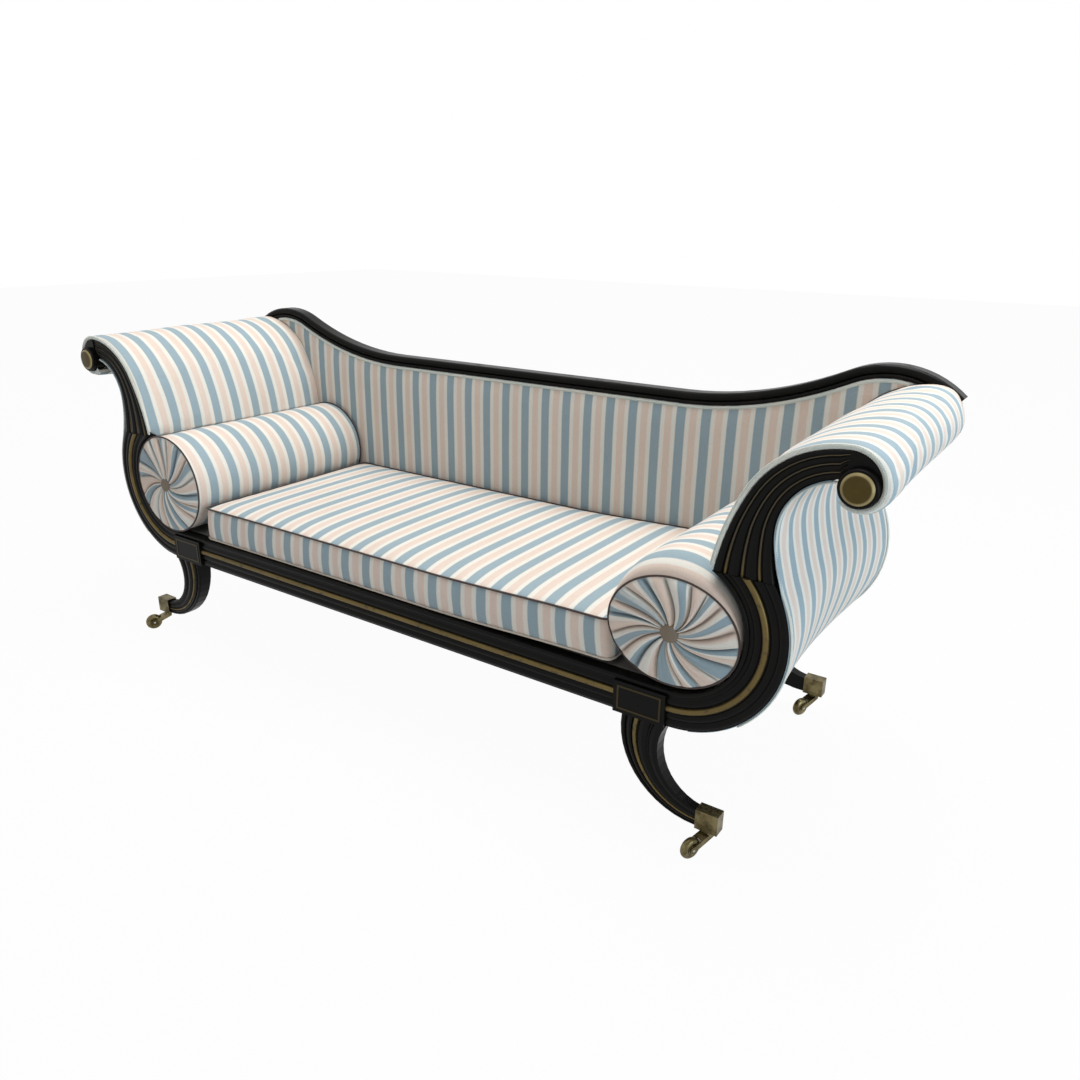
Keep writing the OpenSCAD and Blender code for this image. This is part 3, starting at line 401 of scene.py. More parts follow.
@once
def striped_cloth():
    """Woven cotton with blue and pink stripes on cream."""
    cloth = settings("recamier_cloth")
    finish = Finish("striped_cloth", roughness=0.86, sheen_weight=0.15, sheen_roughness=0.5)
    cut = finish.cut()
    across = finish.split(cut)[0]
    drift = finish.noise(finish.scaled(cut, (6.0, 9.0, 1.0)), 1.0) - 0.5
    place = (across + drift * STRIPE_DRIFT) / cloth.repeat

    def stripe(centre, share):
        off = ((place - centre + 0.5).math("FRACT") - 0.5).math("ABSOLUTE")
        return 1 - off.smooth(share / 2 - EDGE_SHARE, share / 2 + EDGE_SHARE)

    blue = stripe(0.0, cloth.blue_share)
    pink = stripe(0.5, cloth.pink_share)
    height, slubs, warp = woven(finish, cut, STRIPED_THREAD)
    colour = finish.blend(pink, cloth.cream, cloth.pink)
    colour = finish.blend(blue, colour, cloth.blue)
    thread = (slubs + warp - 1.0) * 0.30
    pale = finish.blend(thread.math("ABSOLUTE"), colour, (1.0, 1.0, 1.0))
    worn = finish.noise(finish.place(), 5.0, 3.0)
    colour = finish.blend(thread.smooth(0.0, 0.2) * 0.35, colour, pale)
    colour = finish.blend(thread.smooth(0.05, -0.2) * 0.30, colour, THREAD_SHADE, "MULTIPLY")
    colour = finish.blend(worn.smooth(0.45, 0.8) * 0.16, colour, SOIL_SHADE, "MULTIPLY")
    # Painted shade in the valleys of the bolster ends' pleats, read from their fold attribute
    fold = finish.add("ShaderNodeAttribute", {"attribute_name": "fold"}, None, "Fac")
    colour = finish.blend(fold * 0.85, colour, PAINTED_FOLD_SHADE, "MULTIPLY")
    normal = finish.bump(height, 0.35, 0.00025)
    return finish.set(base_color=colour, normal=normal)


def plain_cloth(name, colour, thread):
    """Woven cloth of one colour, with slubs and a little soiling."""
    finish = Finish(name, roughness=0.9, sheen_weight=0.1)
    place = finish.place()
    cut = finish.vector(*finish.split(place)[:2])
    height, slubs, warp = woven(finish, cut, thread)
    dark = tuple(c * 0.72 for c in colour)
    worn = finish.noise(place, 7.0, 3.0)
    colour = finish.blend((slubs + warp) * 0.5, dark, tuple(colour))
    colour = finish.blend(worn.smooth(0.4, 0.8) * 0.25, colour, (0.75, 0.70, 0.62), "MULTIPLY")
    return finish.set(base_color=colour, normal=finish.bump(height, 0.4, 0.0003))


@once
def twill():
    """Dark cotton over the seat's padding."""
    return plain_cloth("deck_twill", (0.085, 0.080, 0.072), TWILL_THREAD)


@once
def cambric():
    """Thin black cotton under the seat."""
    return plain_cloth("cambric", (0.035, 0.033, 0.032), CAMBRIC_THREAD)


@once
def jute():
    """Coarse webbing."""
    return plain_cloth("jute_webbing", (0.42, 0.31, 0.19), JUTE_THREAD)


@once
def piping_cloth():
    """Dark cloth cut on the slant, over a cord."""
    return plain_cloth("piping_cloth", tuple(settings("recamier_cloth").piping), PIPING_THREAD)


@once
def pale_piping_cloth():
    """Pale cloth over a cord."""
    return plain_cloth("pale_piping_cloth", (0.62, 0.55, 0.47), PIPING_THREAD)


@once
def button_cloth():
    """Plain drab cloth over the buttons."""
    return plain_cloth("button_cloth", (0.22, 0.175, 0.13), TWILL_THREAD)


@once
def gimp_yarn():
    """Silky yarn of the braid."""
    finish = Finish("gimp_yarn", roughness=0.6, sheen_weight=0.3)
    place = finish.place()
    grain = finish.noise(finish.scaled(place, (900.0, 900.0, 900.0)), 1.0, 2.0)
    soil = finish.noise(place, 9.0, 2.0)
    colour = tuple(settings("recamier_cloth").gimp)
    colour = finish.blend(grain, tuple(c * 0.7 for c in colour), colour)
    colour = finish.blend(soil.smooth(0.45, 0.7) * 0.6, colour, (0.74, 0.72, 0.64))
    return finish.set(base_color=colour, normal=finish.bump(grain, 0.5, 0.0004))


@once
def ebonised():
    """Black polish over wood, rubbed and dusty."""
    finish = Finish("ebonised_wood", specular_ior_level=0.07, coat_roughness=0.12)
    place = finish.place()
    pores = finish.noise(finish.scaled(place, (30.0, 30.0, 420.0)), 1.0, 3.0)
    rubbed = finish.noise(place, 14.0, 5.0, 0.65).smooth(0.55, 0.72)
    dust = finish.noise(place, 60.0, 4.0, 0.7)
    base = tuple(settings("recamier_finish").ebony)
    colour = finish.blend(rubbed * 0.4, base, (0.016, 0.013, 0.010))
    colour = finish.blend(dust.smooth(0.62, 0.9) * 0.2, colour, (0.030, 0.028, 0.025))
    rough = 0.26 + rubbed * 0.16 + dust * 0.12
    normal = finish.bump(pores * 0.4 + dust * 0.3, 0.12, 0.0004)
    return finish.set(base_color=colour, roughness=rough, normal=normal, coat_weight=0.035 - rubbed * 0.03)


def leaf(name, shade):
    """Old gold leaf, rubbed through to the black in places, and duller above the waist."""
    finish = Finish(name)
    place = finish.place()
    worn = finish.noise(place, 55.0, 5.0, 0.7)
    rub = worn.smooth(0.54, 0.68)
    base = tuple(c * shade for c in settings("recamier_finish").gilt)
    tone = finish.noise(place, 12.0, 3.0)
    colour = finish.blend(tone, tuple(c * 0.5 for c in base), tuple(c * 1.1 for c in base))
    colour = finish.blend(rub * 0.8, colour, (0.012, 0.009, 0.005))
    high = finish.split(place)[2].smooth(0.55, 0.62)
    colour = finish.blend(high * 0.75, colour, (0.040, 0.036, 0.028))
    normal = finish.bump(worn, 0.25, 0.0005)
    metal, rough = 0.75 - rub * 0.6, 0.42 + rub * 0.25
    return finish.set(base_color=colour, metallic=metal, roughness=rough, normal=normal)


@once
def gilding():
    """Gold leaf of the rails and arms."""
    return leaf("gilding", 0.8)


@once
def worn_gilding():
    """What is left of the gold leaf on the tablets."""
    return leaf("worn_gilding", 0.22)


# What dulls the brass in its hollows, and in specks
TARNISH = (0.050, 0.038, 0.016)
GRIME = (0.020, 0.015, 0.008)
# The painted dark reflection in the middle of a disc, and the distances from its middle between which the
# painted highlight on its rim comes in
DISC_PAINTED_REFLECTION = (0.042, 0.030, 0.008)
DISC_PAINTED_HIGHLIGHT = (0.0195, 0.0235)


def brass(name, disc=False):
    """Cast brass, tarnished in the hollows and rubbed bright. A disc gets a painted dark reflection in its
    middle and a painted highlight on its rim.
    """
    finish = Finish(name, metallic=1.0)
    place = finish.place()
    tarnish = finish.noise(place, 38.0, 6.0, 0.65)
    grains = finish.noise(place, 420.0, 3.0, 0.6)
    base = tuple(settings("recamier_finish").brass)
    bright = tuple(c * 1.3 for c in base)
    colour = finish.blend(tarnish.smooth(0.35, 0.7), bright, TARNISH)
    colour = finish.blend(grains.smooth(0.6, 0.8) * 0.35, colour, GRIME)
    # A disc's colour holds painted light: a dark reflection in its middle and a highlight on its rim
    if disc:
        x, _, z = finish.split(place)
        aside, above = x.math("ABSOLUTE") - EYE[0], z - EYE[1]
        off = (aside.math("POWER", 2.0) + above.math("POWER", 2.0)).math("SQRT")
        # Mostly a painted highlight on the rim, with a little tarnish noise
        rim = off.smooth(*DISC_PAINTED_HIGHLIGHT) * 0.85 + tarnish * 0.15
        colour = finish.blend(rim, DISC_PAINTED_REFLECTION, tuple(c * 1.9 for c in base))
    normal = finish.bump(tarnish + grains * 0.3, 0.12, 0.0005)
    return finish.set(base_color=colour, roughness=0.28 + tarnish * 0.22, normal=normal)


@once
def old_brass():
    """Brass of the castors."""
    return brass("old_brass")


@once
def disc_brass_painted_light():
    """Brass of the discs on the scrolls, with a painted dark reflection in the middle and a painted
    highlight on the rim.
    """
    return brass("disc_brass_painted_light", disc=True)


@once
def steel():
    """Plain steel with a trace of rust."""
    finish = Finish("plain_steel", metallic=1.0)
    rust = finish.noise(finish.place(), 160.0, 5.0, 0.7).smooth(0.55, 0.75)
    colour = finish.blend(rust * 0.6, (0.42, 0.41, 0.40), (0.16, 0.075, 0.035))
    return finish.set(base_color=colour, roughness=0.35 + rust * 0.35)


@once
def raw_wood():
    """Unpolished beech with long grain."""
    finish = Finish("raw_wood", roughness=0.7)
    place = finish.place()
    grain = finish.noise(finish.scaled(place, (6.0, 70.0, 70.0)), 1.0, 5.0, 0.6)
    flecks = finish.noise(finish.scaled(place, (60.0, 700.0, 700.0)), 1.0, 2.0)
    colour = finish.blend(grain, (0.33, 0.20, 0.105), (0.56, 0.39, 0.24))
    colour = finish.blend(flecks.smooth(0.6, 0.8) * 0.4, colour, (0.22, 0.12, 0.06))
    return finish.set(base_color=colour, normal=finish.bump(grain + flecks * 0.3, 0.2, 0.0006))


def placed(name, data):
    """A new object in the scene."""
    piece = bpy.data.objects.new(name, data)
    bpy.context.scene.collection.objects.link(piece)
    return piece


def dress(mesh, material):
    """Makes a mesh of one material."""
    mesh.materials.clear()
    mesh.materials.append(material)


def soften(mesh):
    """Shades all faces of a mesh smoothly."""
    mesh.polygons.foreach_set("use_smooth", [True] * len(mesh.polygons))


def new_piece(name, points, faces, material, cut=None):
    """A piece of the object as a mesh whose place is in its points."""
    mesh = bpy.data.meshes.new(name)
    mesh.from_pydata([tuple(p) for p in points], [], [tuple(f) for f in faces])
    dress(mesh, material)
    if cut is not None:
        lay_flat(mesh, cut)
    soften(mesh)
    mesh.update()
    return placed(name, mesh)


def lay_cut(mesh, corners):
    """Writes where each corner of each face lies on the flat cloth: across its stripes, and along them."""
    layer = mesh.uv_layers.new(name="cut")
    layer.uv.foreach_set("vector", np.asarray(corners, np.float32).ravel())


def lay_flat(mesh, cut):
    """Writes the cut of a cloth without seams, from a pair of numbers for each point."""
    corners = np.empty(len(mesh.loops), np.int32)
    mesh.loops.foreach_get("vertex_index", corners)
    lay_cut(mesh, np.asarray(cut, float)[:, :2][corners])


def coords(mesh):
    """The points of a mesh as an array."""
    flat = np.empty(len(mesh.vertices) * 3, np.float32)
    mesh.vertices.foreach_get("co", flat)
    return flat.reshape(-1, 3).astype(float)


def place_coords(mesh, points):
    mesh.vertices.foreach_set("co", np.asarray(points, np.float32).ravel())
    mesh.update()


def applied(piece):
    """Turns what a piece's modifiers make into its own plain mesh."""
    view = bpy.context.evaluated_depsgraph_get()
    mesh = bpy.data.meshes.new_from_object(piece.evaluated_get(view))
    piece.modifiers.clear()
    piece.data = mesh
    return piece


def smoother(piece, levels):
    """A piece with its faces parted and smoothed, once for each level."""
    finer = piece.modifiers.new("finer", "SUBSURF")
    finer.levels = levels
    finer.render_levels = levels
    finer.use_limit_surface = False
    return applied(piece)


def skin_faces(rows, count):
    """Faces between closed rings of equal counts, one after another, and one face over each end."""
    faces = []
    for i in range(rows - 1):
        for j in range(count):
            k = (j + 1) % count
            faces.append((i * count + j, i * count + k, (i + 1) * count + k, (i + 1) * count + j))
    last = (rows - 1) * count
    faces.append(tuple(range(count - 1, -1, -1)))
    faces.append(tuple(range(last, last + count)))
    return faces


def arc(centre, radius, start, end, step, inwards=False):
    """Points along an arc with the directions away from the wood, about a step apart."""
    count = max(2, round(abs(math.radians(end - start)) * radius / step))
    angles = [start + (end - start) * i / count for i in range(count + 1)]
    sign = -1 if inwards else 1
    return [(centre + radius * ray(a), sign * ray(a)) for a in angles]


def joined(*stretches):
    """Stretches of a profile as one, with their doubled ends left out where the directions agree."""
    line = list(stretches[0])
    for stretch in stretches[1:]:
        before, after = line[-1][1], stretch[0][1]
        if before @ after > 0.999:
            line.extend(stretch[1:])
        else:
            middle = (before + after) / np.linalg.norm(before + after)
            line.append((line[-1][0], middle))
            line.extend(stretch)
    return line


def inner_profile(step):
    """The arm's inner edge, from the bottom of the hollow, up the flank and round the scroll."""
    return joined(
        arc(TROUGH, TROUGH_R, -90, IN_WAIST, step, inwards=True),
        arc(FLANK, FLANK_R, FLANK_A, CROWN_END, step),
        arc(CROWN, CROWN_R, CROWN_END, 90, step),
        arc(VOLUTE, VOLUTE_R, 90, EYE_TURN, step * 0.7),
        arc(EYE, EYE_R, EYE_TURN, PAD_END, step * 0.7),
    )


def outer_profile(step):
    """The arm's outer edge, from under the scroll down to below the curve."""
    return joined(
        arc(HOLLOW, HOLLOW_R, COVER_START, 180, step * 0.7, inwards=True),
        arc(WAIST, WAIST_R, 180, WAIST_A - 1, step, inwards=True),
        arc(TROUGH, OUT_R, OUT_WAIST - 2, COVER_END, step),
    )


def crest_line(step):
    """The lower edge of the crest rail, from its middle to where it meets the arm's inner edge."""
    crest_low, crest_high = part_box("crest_rail")
    peak = np.array([HOLLOW[0] - PEAK_IN, crest_high.z - PEAK_R])
    run = peak[0] - CREST_FLAT
    bend = 2 * math.atan((crest_high.z - crest_low.z - CREST_H) / run)
    sweep = run / math.sin(bend) - PEAK_R
    hollow = np.array([CREST_FLAT, crest_low.z + CREST_H + sweep])
    degrees = math.degrees(bend)
    level = [np.array([x, crest_low.z]) for x in np.arange(step / 2, CREST_FLAT, step)]
    rising = [p for p, _ in arc(hollow, sweep + CREST_H, -90, degrees - 90, step)]
    over = [p for p, _ in arc(peak, PEAK_R - CREST_H, 90 + degrees, 60, step)]
    inside = []
    for p in over[1:]:
        centre, radius = (CROWN, CROWN_R) if turn(p - CROWN) < CROWN_END else (FLANK, FLANK_R)
        if np.linalg.norm(p - centre) > radius + PAD_T + 0.003:
            inside.append(p)
    return level + rising + inside


def evened(rows, passes, share):
    """Rows of numbers, each drawn towards the middle of its neighbours as far as its share says."""
    for _ in range(passes):
        even = rows.copy()
        even[1:-1] = (rows[:-2] + rows[2:]) / 2
        rows = rows + (even - rows) * share
    return rows


# The cloth leaves the wood about this far from the corner at the waist, and lies on it this far beside it
DRAWN_REACH = 0.045
CORNER_REST = 0.010


def outer_line(step):
    """The outer edge as the cloth lies on it, drawn tight over the corner at the waist."""
    line = outer_profile(step)
    spots = np.array([p for p, _ in line])
    ways = np.array([n for _, n in line])
    runs = lengths(line)
    corner = int(np.argmin(np.abs(spots[:, 1] - WAIST_Z)))
    near = np.exp(-(((runs - runs[corner]) / DRAWN_REACH) ** 2))[:, None]
    spots = evened(spots, 40, near)
    ways = evened(ways, 12, near)
    ways = ways / np.linalg.norm(ways, axis=1, keepdims=True)
    tip = TROUGH + OUT_R * ray(OUT_WAIST)
    wood = np.array([p for p, _ in outer_profile(0.002)] + [tip])
    lift = np.zeros(len(spots))
    for i, (spot, way) in enumerate(zip(spots, ways)):
        off = wood - spot
        beside, out = np.abs(off @ np.array([-way[1], way[0]])), off @ way
        under = (beside < CORNER_REST) & (np.abs(out) < 3 * CORNER_REST)
        lift[i] = max(out[under].max(initial=0.0) + TINY, 0.0)
    return list(zip(spots + ways * lift[:, None], ways))


def lengths(line):
    """Distance along a profile at each of its points."""
    steps = [0.0] + [float(np.linalg.norm(b[0] - a[0])) for a, b in zip(line, line[1:])]
    return np.cumsum(steps)


# The lining's thickness in the trough, how soon it grows from that, and what its filling adds to it
LINING_MIN = 0.001
LINING_EASE = 0.02
FILLING_ROOM = 0.0015
# Its soft front edge, and where its first blue stripe lies, as a share of the repeat
LINING_ROLL = 0.012
LINING_PHASE_SHARE = 0.31


def quarter(turns):
    """Pairs of numbers on a quarter of a circle: how far along, and how high."""
    angles = [math.pi / 2 * i / turns for i in range(turns + 1)]
    return [(1 - math.cos(a), math.sin(a)) for a in angles]


def roll_section(front, back, roll, step, back_roll):
    """Across a padded strip: (depth, share of its thickness), from its front edge over to its back."""
    rise = [(front + roll * along, high) for along, high in quarter(4)]
    fall = [(back - back_roll * along, high) for along, high in reversed(quarter(4))]
    level = back - back_roll - front - roll
    count = max(4, round(level / step))
    return rise + [(front + roll + level * i / count, 1.0) for i in range(1, count)] + fall


# Cells of a padded strip: their length along the arm and across it, and how many lie under it
ROW_STEP = 0.015
STRIP_STEP = 0.016
UNDER_CELLS = 13
BACK_ROLL = 0.006


def mirrored(points, side):
    """Points for the left or right arm, from those of the right one."""
    return np.asarray(points) * np.array([side, 1.0, 1.0])


def strip_cover(name, line, thickness, fronts, back, roll, side, phase, sag=None):
    """A closed padded strip along a profile, with soft edges. It hangs in between the frames by its sag."""
    rows = len(line)
    sag = np.zeros(rows) if sag is None else sag
    points, cut = [], []
    for (p, away), s, thick, front, hang in zip(line, lengths(line), thickness, fronts, sag):
        section = roll_section(front, back, min(roll, thick * 1.2), STRIP_STEP, min(BACK_ROLL, thick))
        skin = len(section)
        section += [(back + (front - back) * i / UNDER_CELLS, 0.0) for i in range(1, UNDER_CELLS)]
        for depth, share in section:
            between = min(max((depth - FRAME_T) / (REAR - FRAME_T), 0.0), 1.0)
            q = p + away * (TINY + (thick - TINY) * share - hang * math.sin(math.pi * between) ** 1.3)
            points.append((q[0], FACE + depth, q[1]))
            cut.append((depth - phase, s))
    count = len(points) // rows
    faces = skin_faces(rows, count)
    if side > 0:
        faces = [tuple(reversed(f)) for f in faces]
    piece = new_piece(name, mirrored(points, side), faces, striped_cloth(), cut)
    over_frames = back > BACK
    on_wood = [j for j in range(skin) if over_frames and not FRAME_T < section[j][0] < REAR]
    held = [i * count + j for i in range(rows) for j in {0, *on_wood, *range(skin - 1, count)}]
    ends = list(range(count)) + list(range((rows - 1) * count, rows * count))
    pin(piece, {1.0: held + ends})
    return piece


def pin(piece, weights):
    """Holds points of a cover while it is filled, each group by its own weight."""
    group = piece.vertex_groups.new(name="pins")
    for weight, members in weights.items():
        group.add([int(i) for i in members], weight, "REPLACE")


def stuff(piece, cap, slack=0.0, pressure=1.0, stiffness=12.0):
    """Sets a cover up for filling. No point of it will move further than cap."""
    filling = settings("recamier_filling")
    piece["cap"] = cap
    cloth = piece.modifiers.new("filling", "CLOTH")
    cloth.settings.quality = 6
    cloth.settings.mass = 0.25
    cloth.settings.tension_stiffness = stiffness
    cloth.settings.compression_stiffness = stiffness
    cloth.settings.shear_stiffness = stiffness / 3
    cloth.settings.bending_stiffness = 0.4
    cloth.settings.use_pressure = True
    cloth.settings.uniform_pressure_force = filling.pressure * pressure
    cloth.settings.shrink_min = -slack
    cloth.settings.vertex_group_mass = "pins"
    cloth.settings.effector_weights.gravity = 0.0
    cloth.collision_settings.use_collision = False
    cloth.point_cache.frame_start = 1
    cloth.point_cache.frame_end = filling.frames


# The arm's inner edge: how far it runs in the trough, and then up the flank
TROUGH_RUN = math.radians(IN_WAIST + 90) * TROUGH_R
FLANK_RUN = math.radians(FLANK_A - CROWN_END) * FLANK_R


def flank_rise(runs):
    """0 in the trough, 1 past the flank, and a share of the way in between."""
    return np.clip((runs - TROUGH_RUN) / FLANK_RUN, 0, 1)


def arm_lining(side, name):
    """The padded inside of an arm, which rolls over the scroll."""
    line = inner_profile(ROW_STEP)
    runs = lengths(line)
    rise = flank_rise(runs)
    under = np.clip((runs - TROUGH_RUN + LINING_EASE) / LINING_EASE, 0, 1)
    low = LINING_MIN + (PAD_MIN - LINING_MIN) * under
    high = PAD_MIN + (PAD_T - PAD_MIN) * rise
    thick = np.where(runs < TROUGH_RUN, low, high) - FILLING_ROOM * rise
    front = PAD_LOW.y - FACE
    fronts = np.where(runs < TROUGH_RUN + 0.001, FRAME_T + TINY, front)
    phase = front + settings("recamier_cloth").repeat * LINING_PHASE_SHARE
    return strip_cover(name, line, thick, fronts, REAR - TINY, LINING_ROLL, side, phase)


class PieceOperator(Operator):
    """A step that makes one piece or a group of like pieces."""

    bl_options = {"REGISTER", "UNDO"}


SIDES = {"left": -1, "right": 1}


class RECAMIER_OT_arm_linings(PieceOperator):
    """Makes the padded insides of both arms"""

    bl_idname = "recamier.arm_linings"
    bl_label = "Arm linings"

    def execute(self, context):
        for word, side in SIDES.items():
            piece = arm_lining(side, f"{word}_arm_lining")
            stuff(piece, cap=0.004, slack=0.012, pressure=0.7)
        return {"FINISHED"}


# The outer cover: its thickness, its soft front edge, where its first blue stripe lies, how far it hangs
# in below the waist, and how far it stands out above
COVER_T = 0.0022
COVER_ROLL = 0.007
COVER_PHASE = 0.010
LOWER_SAG = 0.016
UPPER_SWELL = 0.004


class RECAMIER_OT_outer_covers(PieceOperator):
    """Makes the cloth over the outside of both arms"""

    bl_idname = "recamier.outer_covers"
    bl_label = "Outer arm covers"

    def execute(self, context):
        line = outer_line(ROW_STEP)
        front = COVER_LOW.y - FACE
        runs = lengths(line)
        heights = np.array([p[1] for p, _ in line])
        waist_run = runs[int(np.argmin(np.abs(heights - WAIST_Z)))]
        lower = np.clip((WAIST_Z - heights) / (WAIST_Z - RAIL_LOW.z), 0, 1)
        upper = np.clip(runs / waist_run, 0, 1)
        sag = LOWER_SAG * np.sin(math.pi * lower) ** 2 - UPPER_SWELL * np.sin(math.pi * upper) ** 2
        thick = np.full(len(line), COVER_T)
        fronts = np.full(len(line), front)
        back = BACK + 2 * TINY
        for word, side in SIDES.items():
            name = f"{word}_outer_cover"
            phase = front + COVER_PHASE
            piece = strip_cover(name, line, thick, fronts, back, COVER_ROLL, -side, phase, sag)
            place_coords(piece.data, mirrored(coords(piece.data), -1))
            stuff(piece, cap=0.002, slack=0.003, pressure=0.3)
        return {"FINISHED"}


# The squab: cells across, along and up, its round corners, and how far its sides draw in
SQUAB_CELLS = (76, 34, 5)
SQUAB_CORNER = 0.016
SQUAB_DRAW = 0.003
# How much wider it is than in the frame, and wider again at its foot, and how far it sits forward
SQUAB_SPREAD = 0.002
SQUAB_WEDGE = 0.008
SQUAB_FORWARD = 0.002
# Its seam lies this far under its top, which rises again in the middle. Its border bulges.
SEAM_DROP = 0.016
SQUAB_CROWN = 0.008
SQUAB_BULGE = 0.003
SQUAB_FOOT = 0.001
# The right bolster lifts it from here on
SQUAB_LIFT = 0.012
LIFT_FROM = 0.15
EASE = (np.linspace(0, 1, 21), np.sin(np.linspace(0, math.pi / 2, 21)) ** 2)
# Where the stripes start on its border and on its top, which is drawn tight
BORDER_PHASE = 0.034
TOP_PHASE = 0.001
TOP_TIGHT = 0.98


def squab_plan(nx, ny, half_x, half_y, corner, draw):
    """Grid of the squab's plan with round corners and sides drawn in between them."""
    grid = np.zeros((nx + 1, ny + 1, 2))
    for i in range(nx + 1):
        for j in range(ny + 1):
            u, v = 2 * i / nx - 1, 2 * j / ny - 1
            x, y = u * half_x, v * half_y
            a, b = (abs(x) - half_x + corner) / corner, (abs(y) - half_y + corner) / corner
            if a > 0 and b > 0:
                x = math.copysign(half_x - corner + corner * a * math.sqrt(1 - b * b / 2), x)
                y = math.copysign(half_y - corner + corner * b * math.sqrt(1 - a * a / 2), y)
            x -= draw * u**9 * (1 - v * v)
            y -= draw * v**9 * (1 - u * u)
            grid[i, j] = (x, y)
    return grid


class RECAMIER_OT_squab(PieceOperator):
    """Makes the cover of the loose seat cushion, ready for its filling"""

    bl_idname = "recamier.squab"
    bl_label = "Squab"

    def execute(self, context):
        nx, ny, rows = SQUAB_CELLS
        half_x = SQUAB_HIGH.x + SQUAB_SPREAD
        half_y = (SQUAB_HIGH.y - SQUAB_LOW.y) / 2
        mid_y = (SQUAB_HIGH.y + SQUAB_LOW.y) / 2 - SQUAB_FORWARD
        wedge = 1 + SQUAB_WEDGE / half_x
        low, edge = SQUAB_LOW.z, SQUAB_HIGH.z - SEAM_DROP
        foot = low + SQUAB_FOOT
        plan = squab_plan(nx, ny, half_x, half_y, SQUAB_CORNER, SQUAB_DRAW)
        loop = [(i, 0) for i in range(nx)] + [(nx, j) for j in range(ny)]
        loop += [(i, ny) for i in range(nx, 0, -1)] + [(0, j) for j in range(ny, 0, -1)]
        n = len(loop)
        grid = (nx + 1) * (ny + 1)

        points, cut = [], []
        for top in (True, False):
            for i in range(nx + 1):
                for j in range(ny + 1):
                    u, v = 2 * i / nx - 1, 2 * j / ny - 1
                    x, y = plan[i, j]
                    rise = SQUAB_CROWN * (1 - u**6) * (1 - abs(v) ** 3)
                    points.append((x, mid_y + y, edge + rise) if top else (x * wedge, mid_y + y, foot))
                    cut.append(((u * half_x + TOP_PHASE) * TOP_TIGHT, v * half_y))
        walk = np.array([plan[i, j] for i, j in loop])
        for k in range(1, rows):
            share = k / rows
            bulge = SQUAB_BULGE * math.sin(math.pi * share)
            leaning = 1 + (wedge - 1) * share
            for m in range(n):
                ahead, behind = walk[(m + 1) % n], walk[m - 1]
                out = np.array([ahead[1] - behind[1], behind[0] - ahead[0]])
                p = walk[m] + out / np.linalg.norm(out) * bulge
                points.append((p[0] * leaning, mid_y + p[1], edge + (foot - edge) * share))
        points = np.array(points)
        points[:, 2] += SQUAB_LIFT * np.interp((points[:, 0] - LIFT_FROM) / (half_x - LIFT_FROM), *EASE)

        def at(k, m):
            """The point of the border in row k, counted down from the seam."""
            i, j = loop[m % n]
            if k == 0:
                return i * (ny + 1) + j
            if k == rows:
                return grid + i * (ny + 1) + j
            return 2 * grid + (k - 1) * n + m % n

        faces = []
        for i in range(nx):
            for j in range(ny):
                a, b = i * (ny + 1) + j, (i + 1) * (ny + 1) + j
                faces.append((a, b, b + 1, a + 1))
                faces.append((grid + a + 1, grid + b + 1, grid + b, grid + a))
        corners = [cut[i] for face in faces for i in face]
        steps = np.linalg.norm(np.roll(walk, -1, axis=0) - walk, axis=1)
        around = np.concatenate([[0.0], np.cumsum(steps)]) - half_x - BORDER_PHASE
        for k in range(rows):
            drop = -half_y - (edge - low) * np.array([k, k + 1, k + 1, k]) / rows
            for m in range(n):
                faces.append((at(k, m), at(k + 1, m), at(k + 1, m + 1), at(k, m + 1)))
                corners += [(around[m + e], d) for e, d in zip((0, 0, 1, 1), drop)]

        piece = new_piece("squab_cover", points, faces, striped_cloth())
        lay_cut(piece.data, corners)
        piece["seam"] = [at(0, m) for m in range(n)]
        piece["foot"] = [at(rows, m) for m in range(n)]
        pin(piece, {1.0: list(range(grid, 2 * grid)), 0.85: piece["seam"]})
        stuff(piece, cap=0.009, slack=0.006)
        return {"FINISHED"}


# The crease on the side of a pleat that is less full than this: its place, width and depth
SLIM_PLEAT = 0.45
CREASE_AT = 0.42
CREASE_WIDTH = 0.07
CREASE_DEPTH = 0.34


def pleat(within, fullness):
    """Height of a gathered fold across its width, from 0 in a valley to 1, steeper on one side."""
    crest = max(math.sin(math.pi * within**0.8), 0.0) ** 0.55
    dent = math.exp(-(((within - CREASE_AT) / CREASE_WIDTH) ** 2))
    crease = CREASE_DEPTH * dent * (fullness < SLIM_PLEAT)
    return crest * (0.55 + 0.55 * fullness) - crease


# A bolster: cells in a pleat and along the barrel, and the rings of an end as shares of its radius
PLEAT_CELLS = 8
BARREL_CELLS = 30
END_SHARES = [0.06, 0.10, 0.15, 0.21, 0.28, 0.36, 0.45, 0.55, 0.65, 0.75, 0.84, 0.92, 0.975, 1.0]
# How far its ends swell out, how deep they gather, and the room that its filling needs
END_SWELL = 0.012
GATHER_DEPTH = 0.0150
ROLL_ROOM = 0.0010
# The right bolster's front end is pressed to an oval over this depth
PRESS_REACH = 0.06
PRESS_SHARE = 0.19
PRESS_SINK = 0.0135
# How uneven its barrel is, and how unevenly the strip is gathered into an end, as a share of the repeat
BARREL_SLUMP = 0.0016
GATHER_DRIFT = 0.45
# Where the stripes of each barrel start
ROLL_PHASE = {"left": 0.050, "right": 0.034}


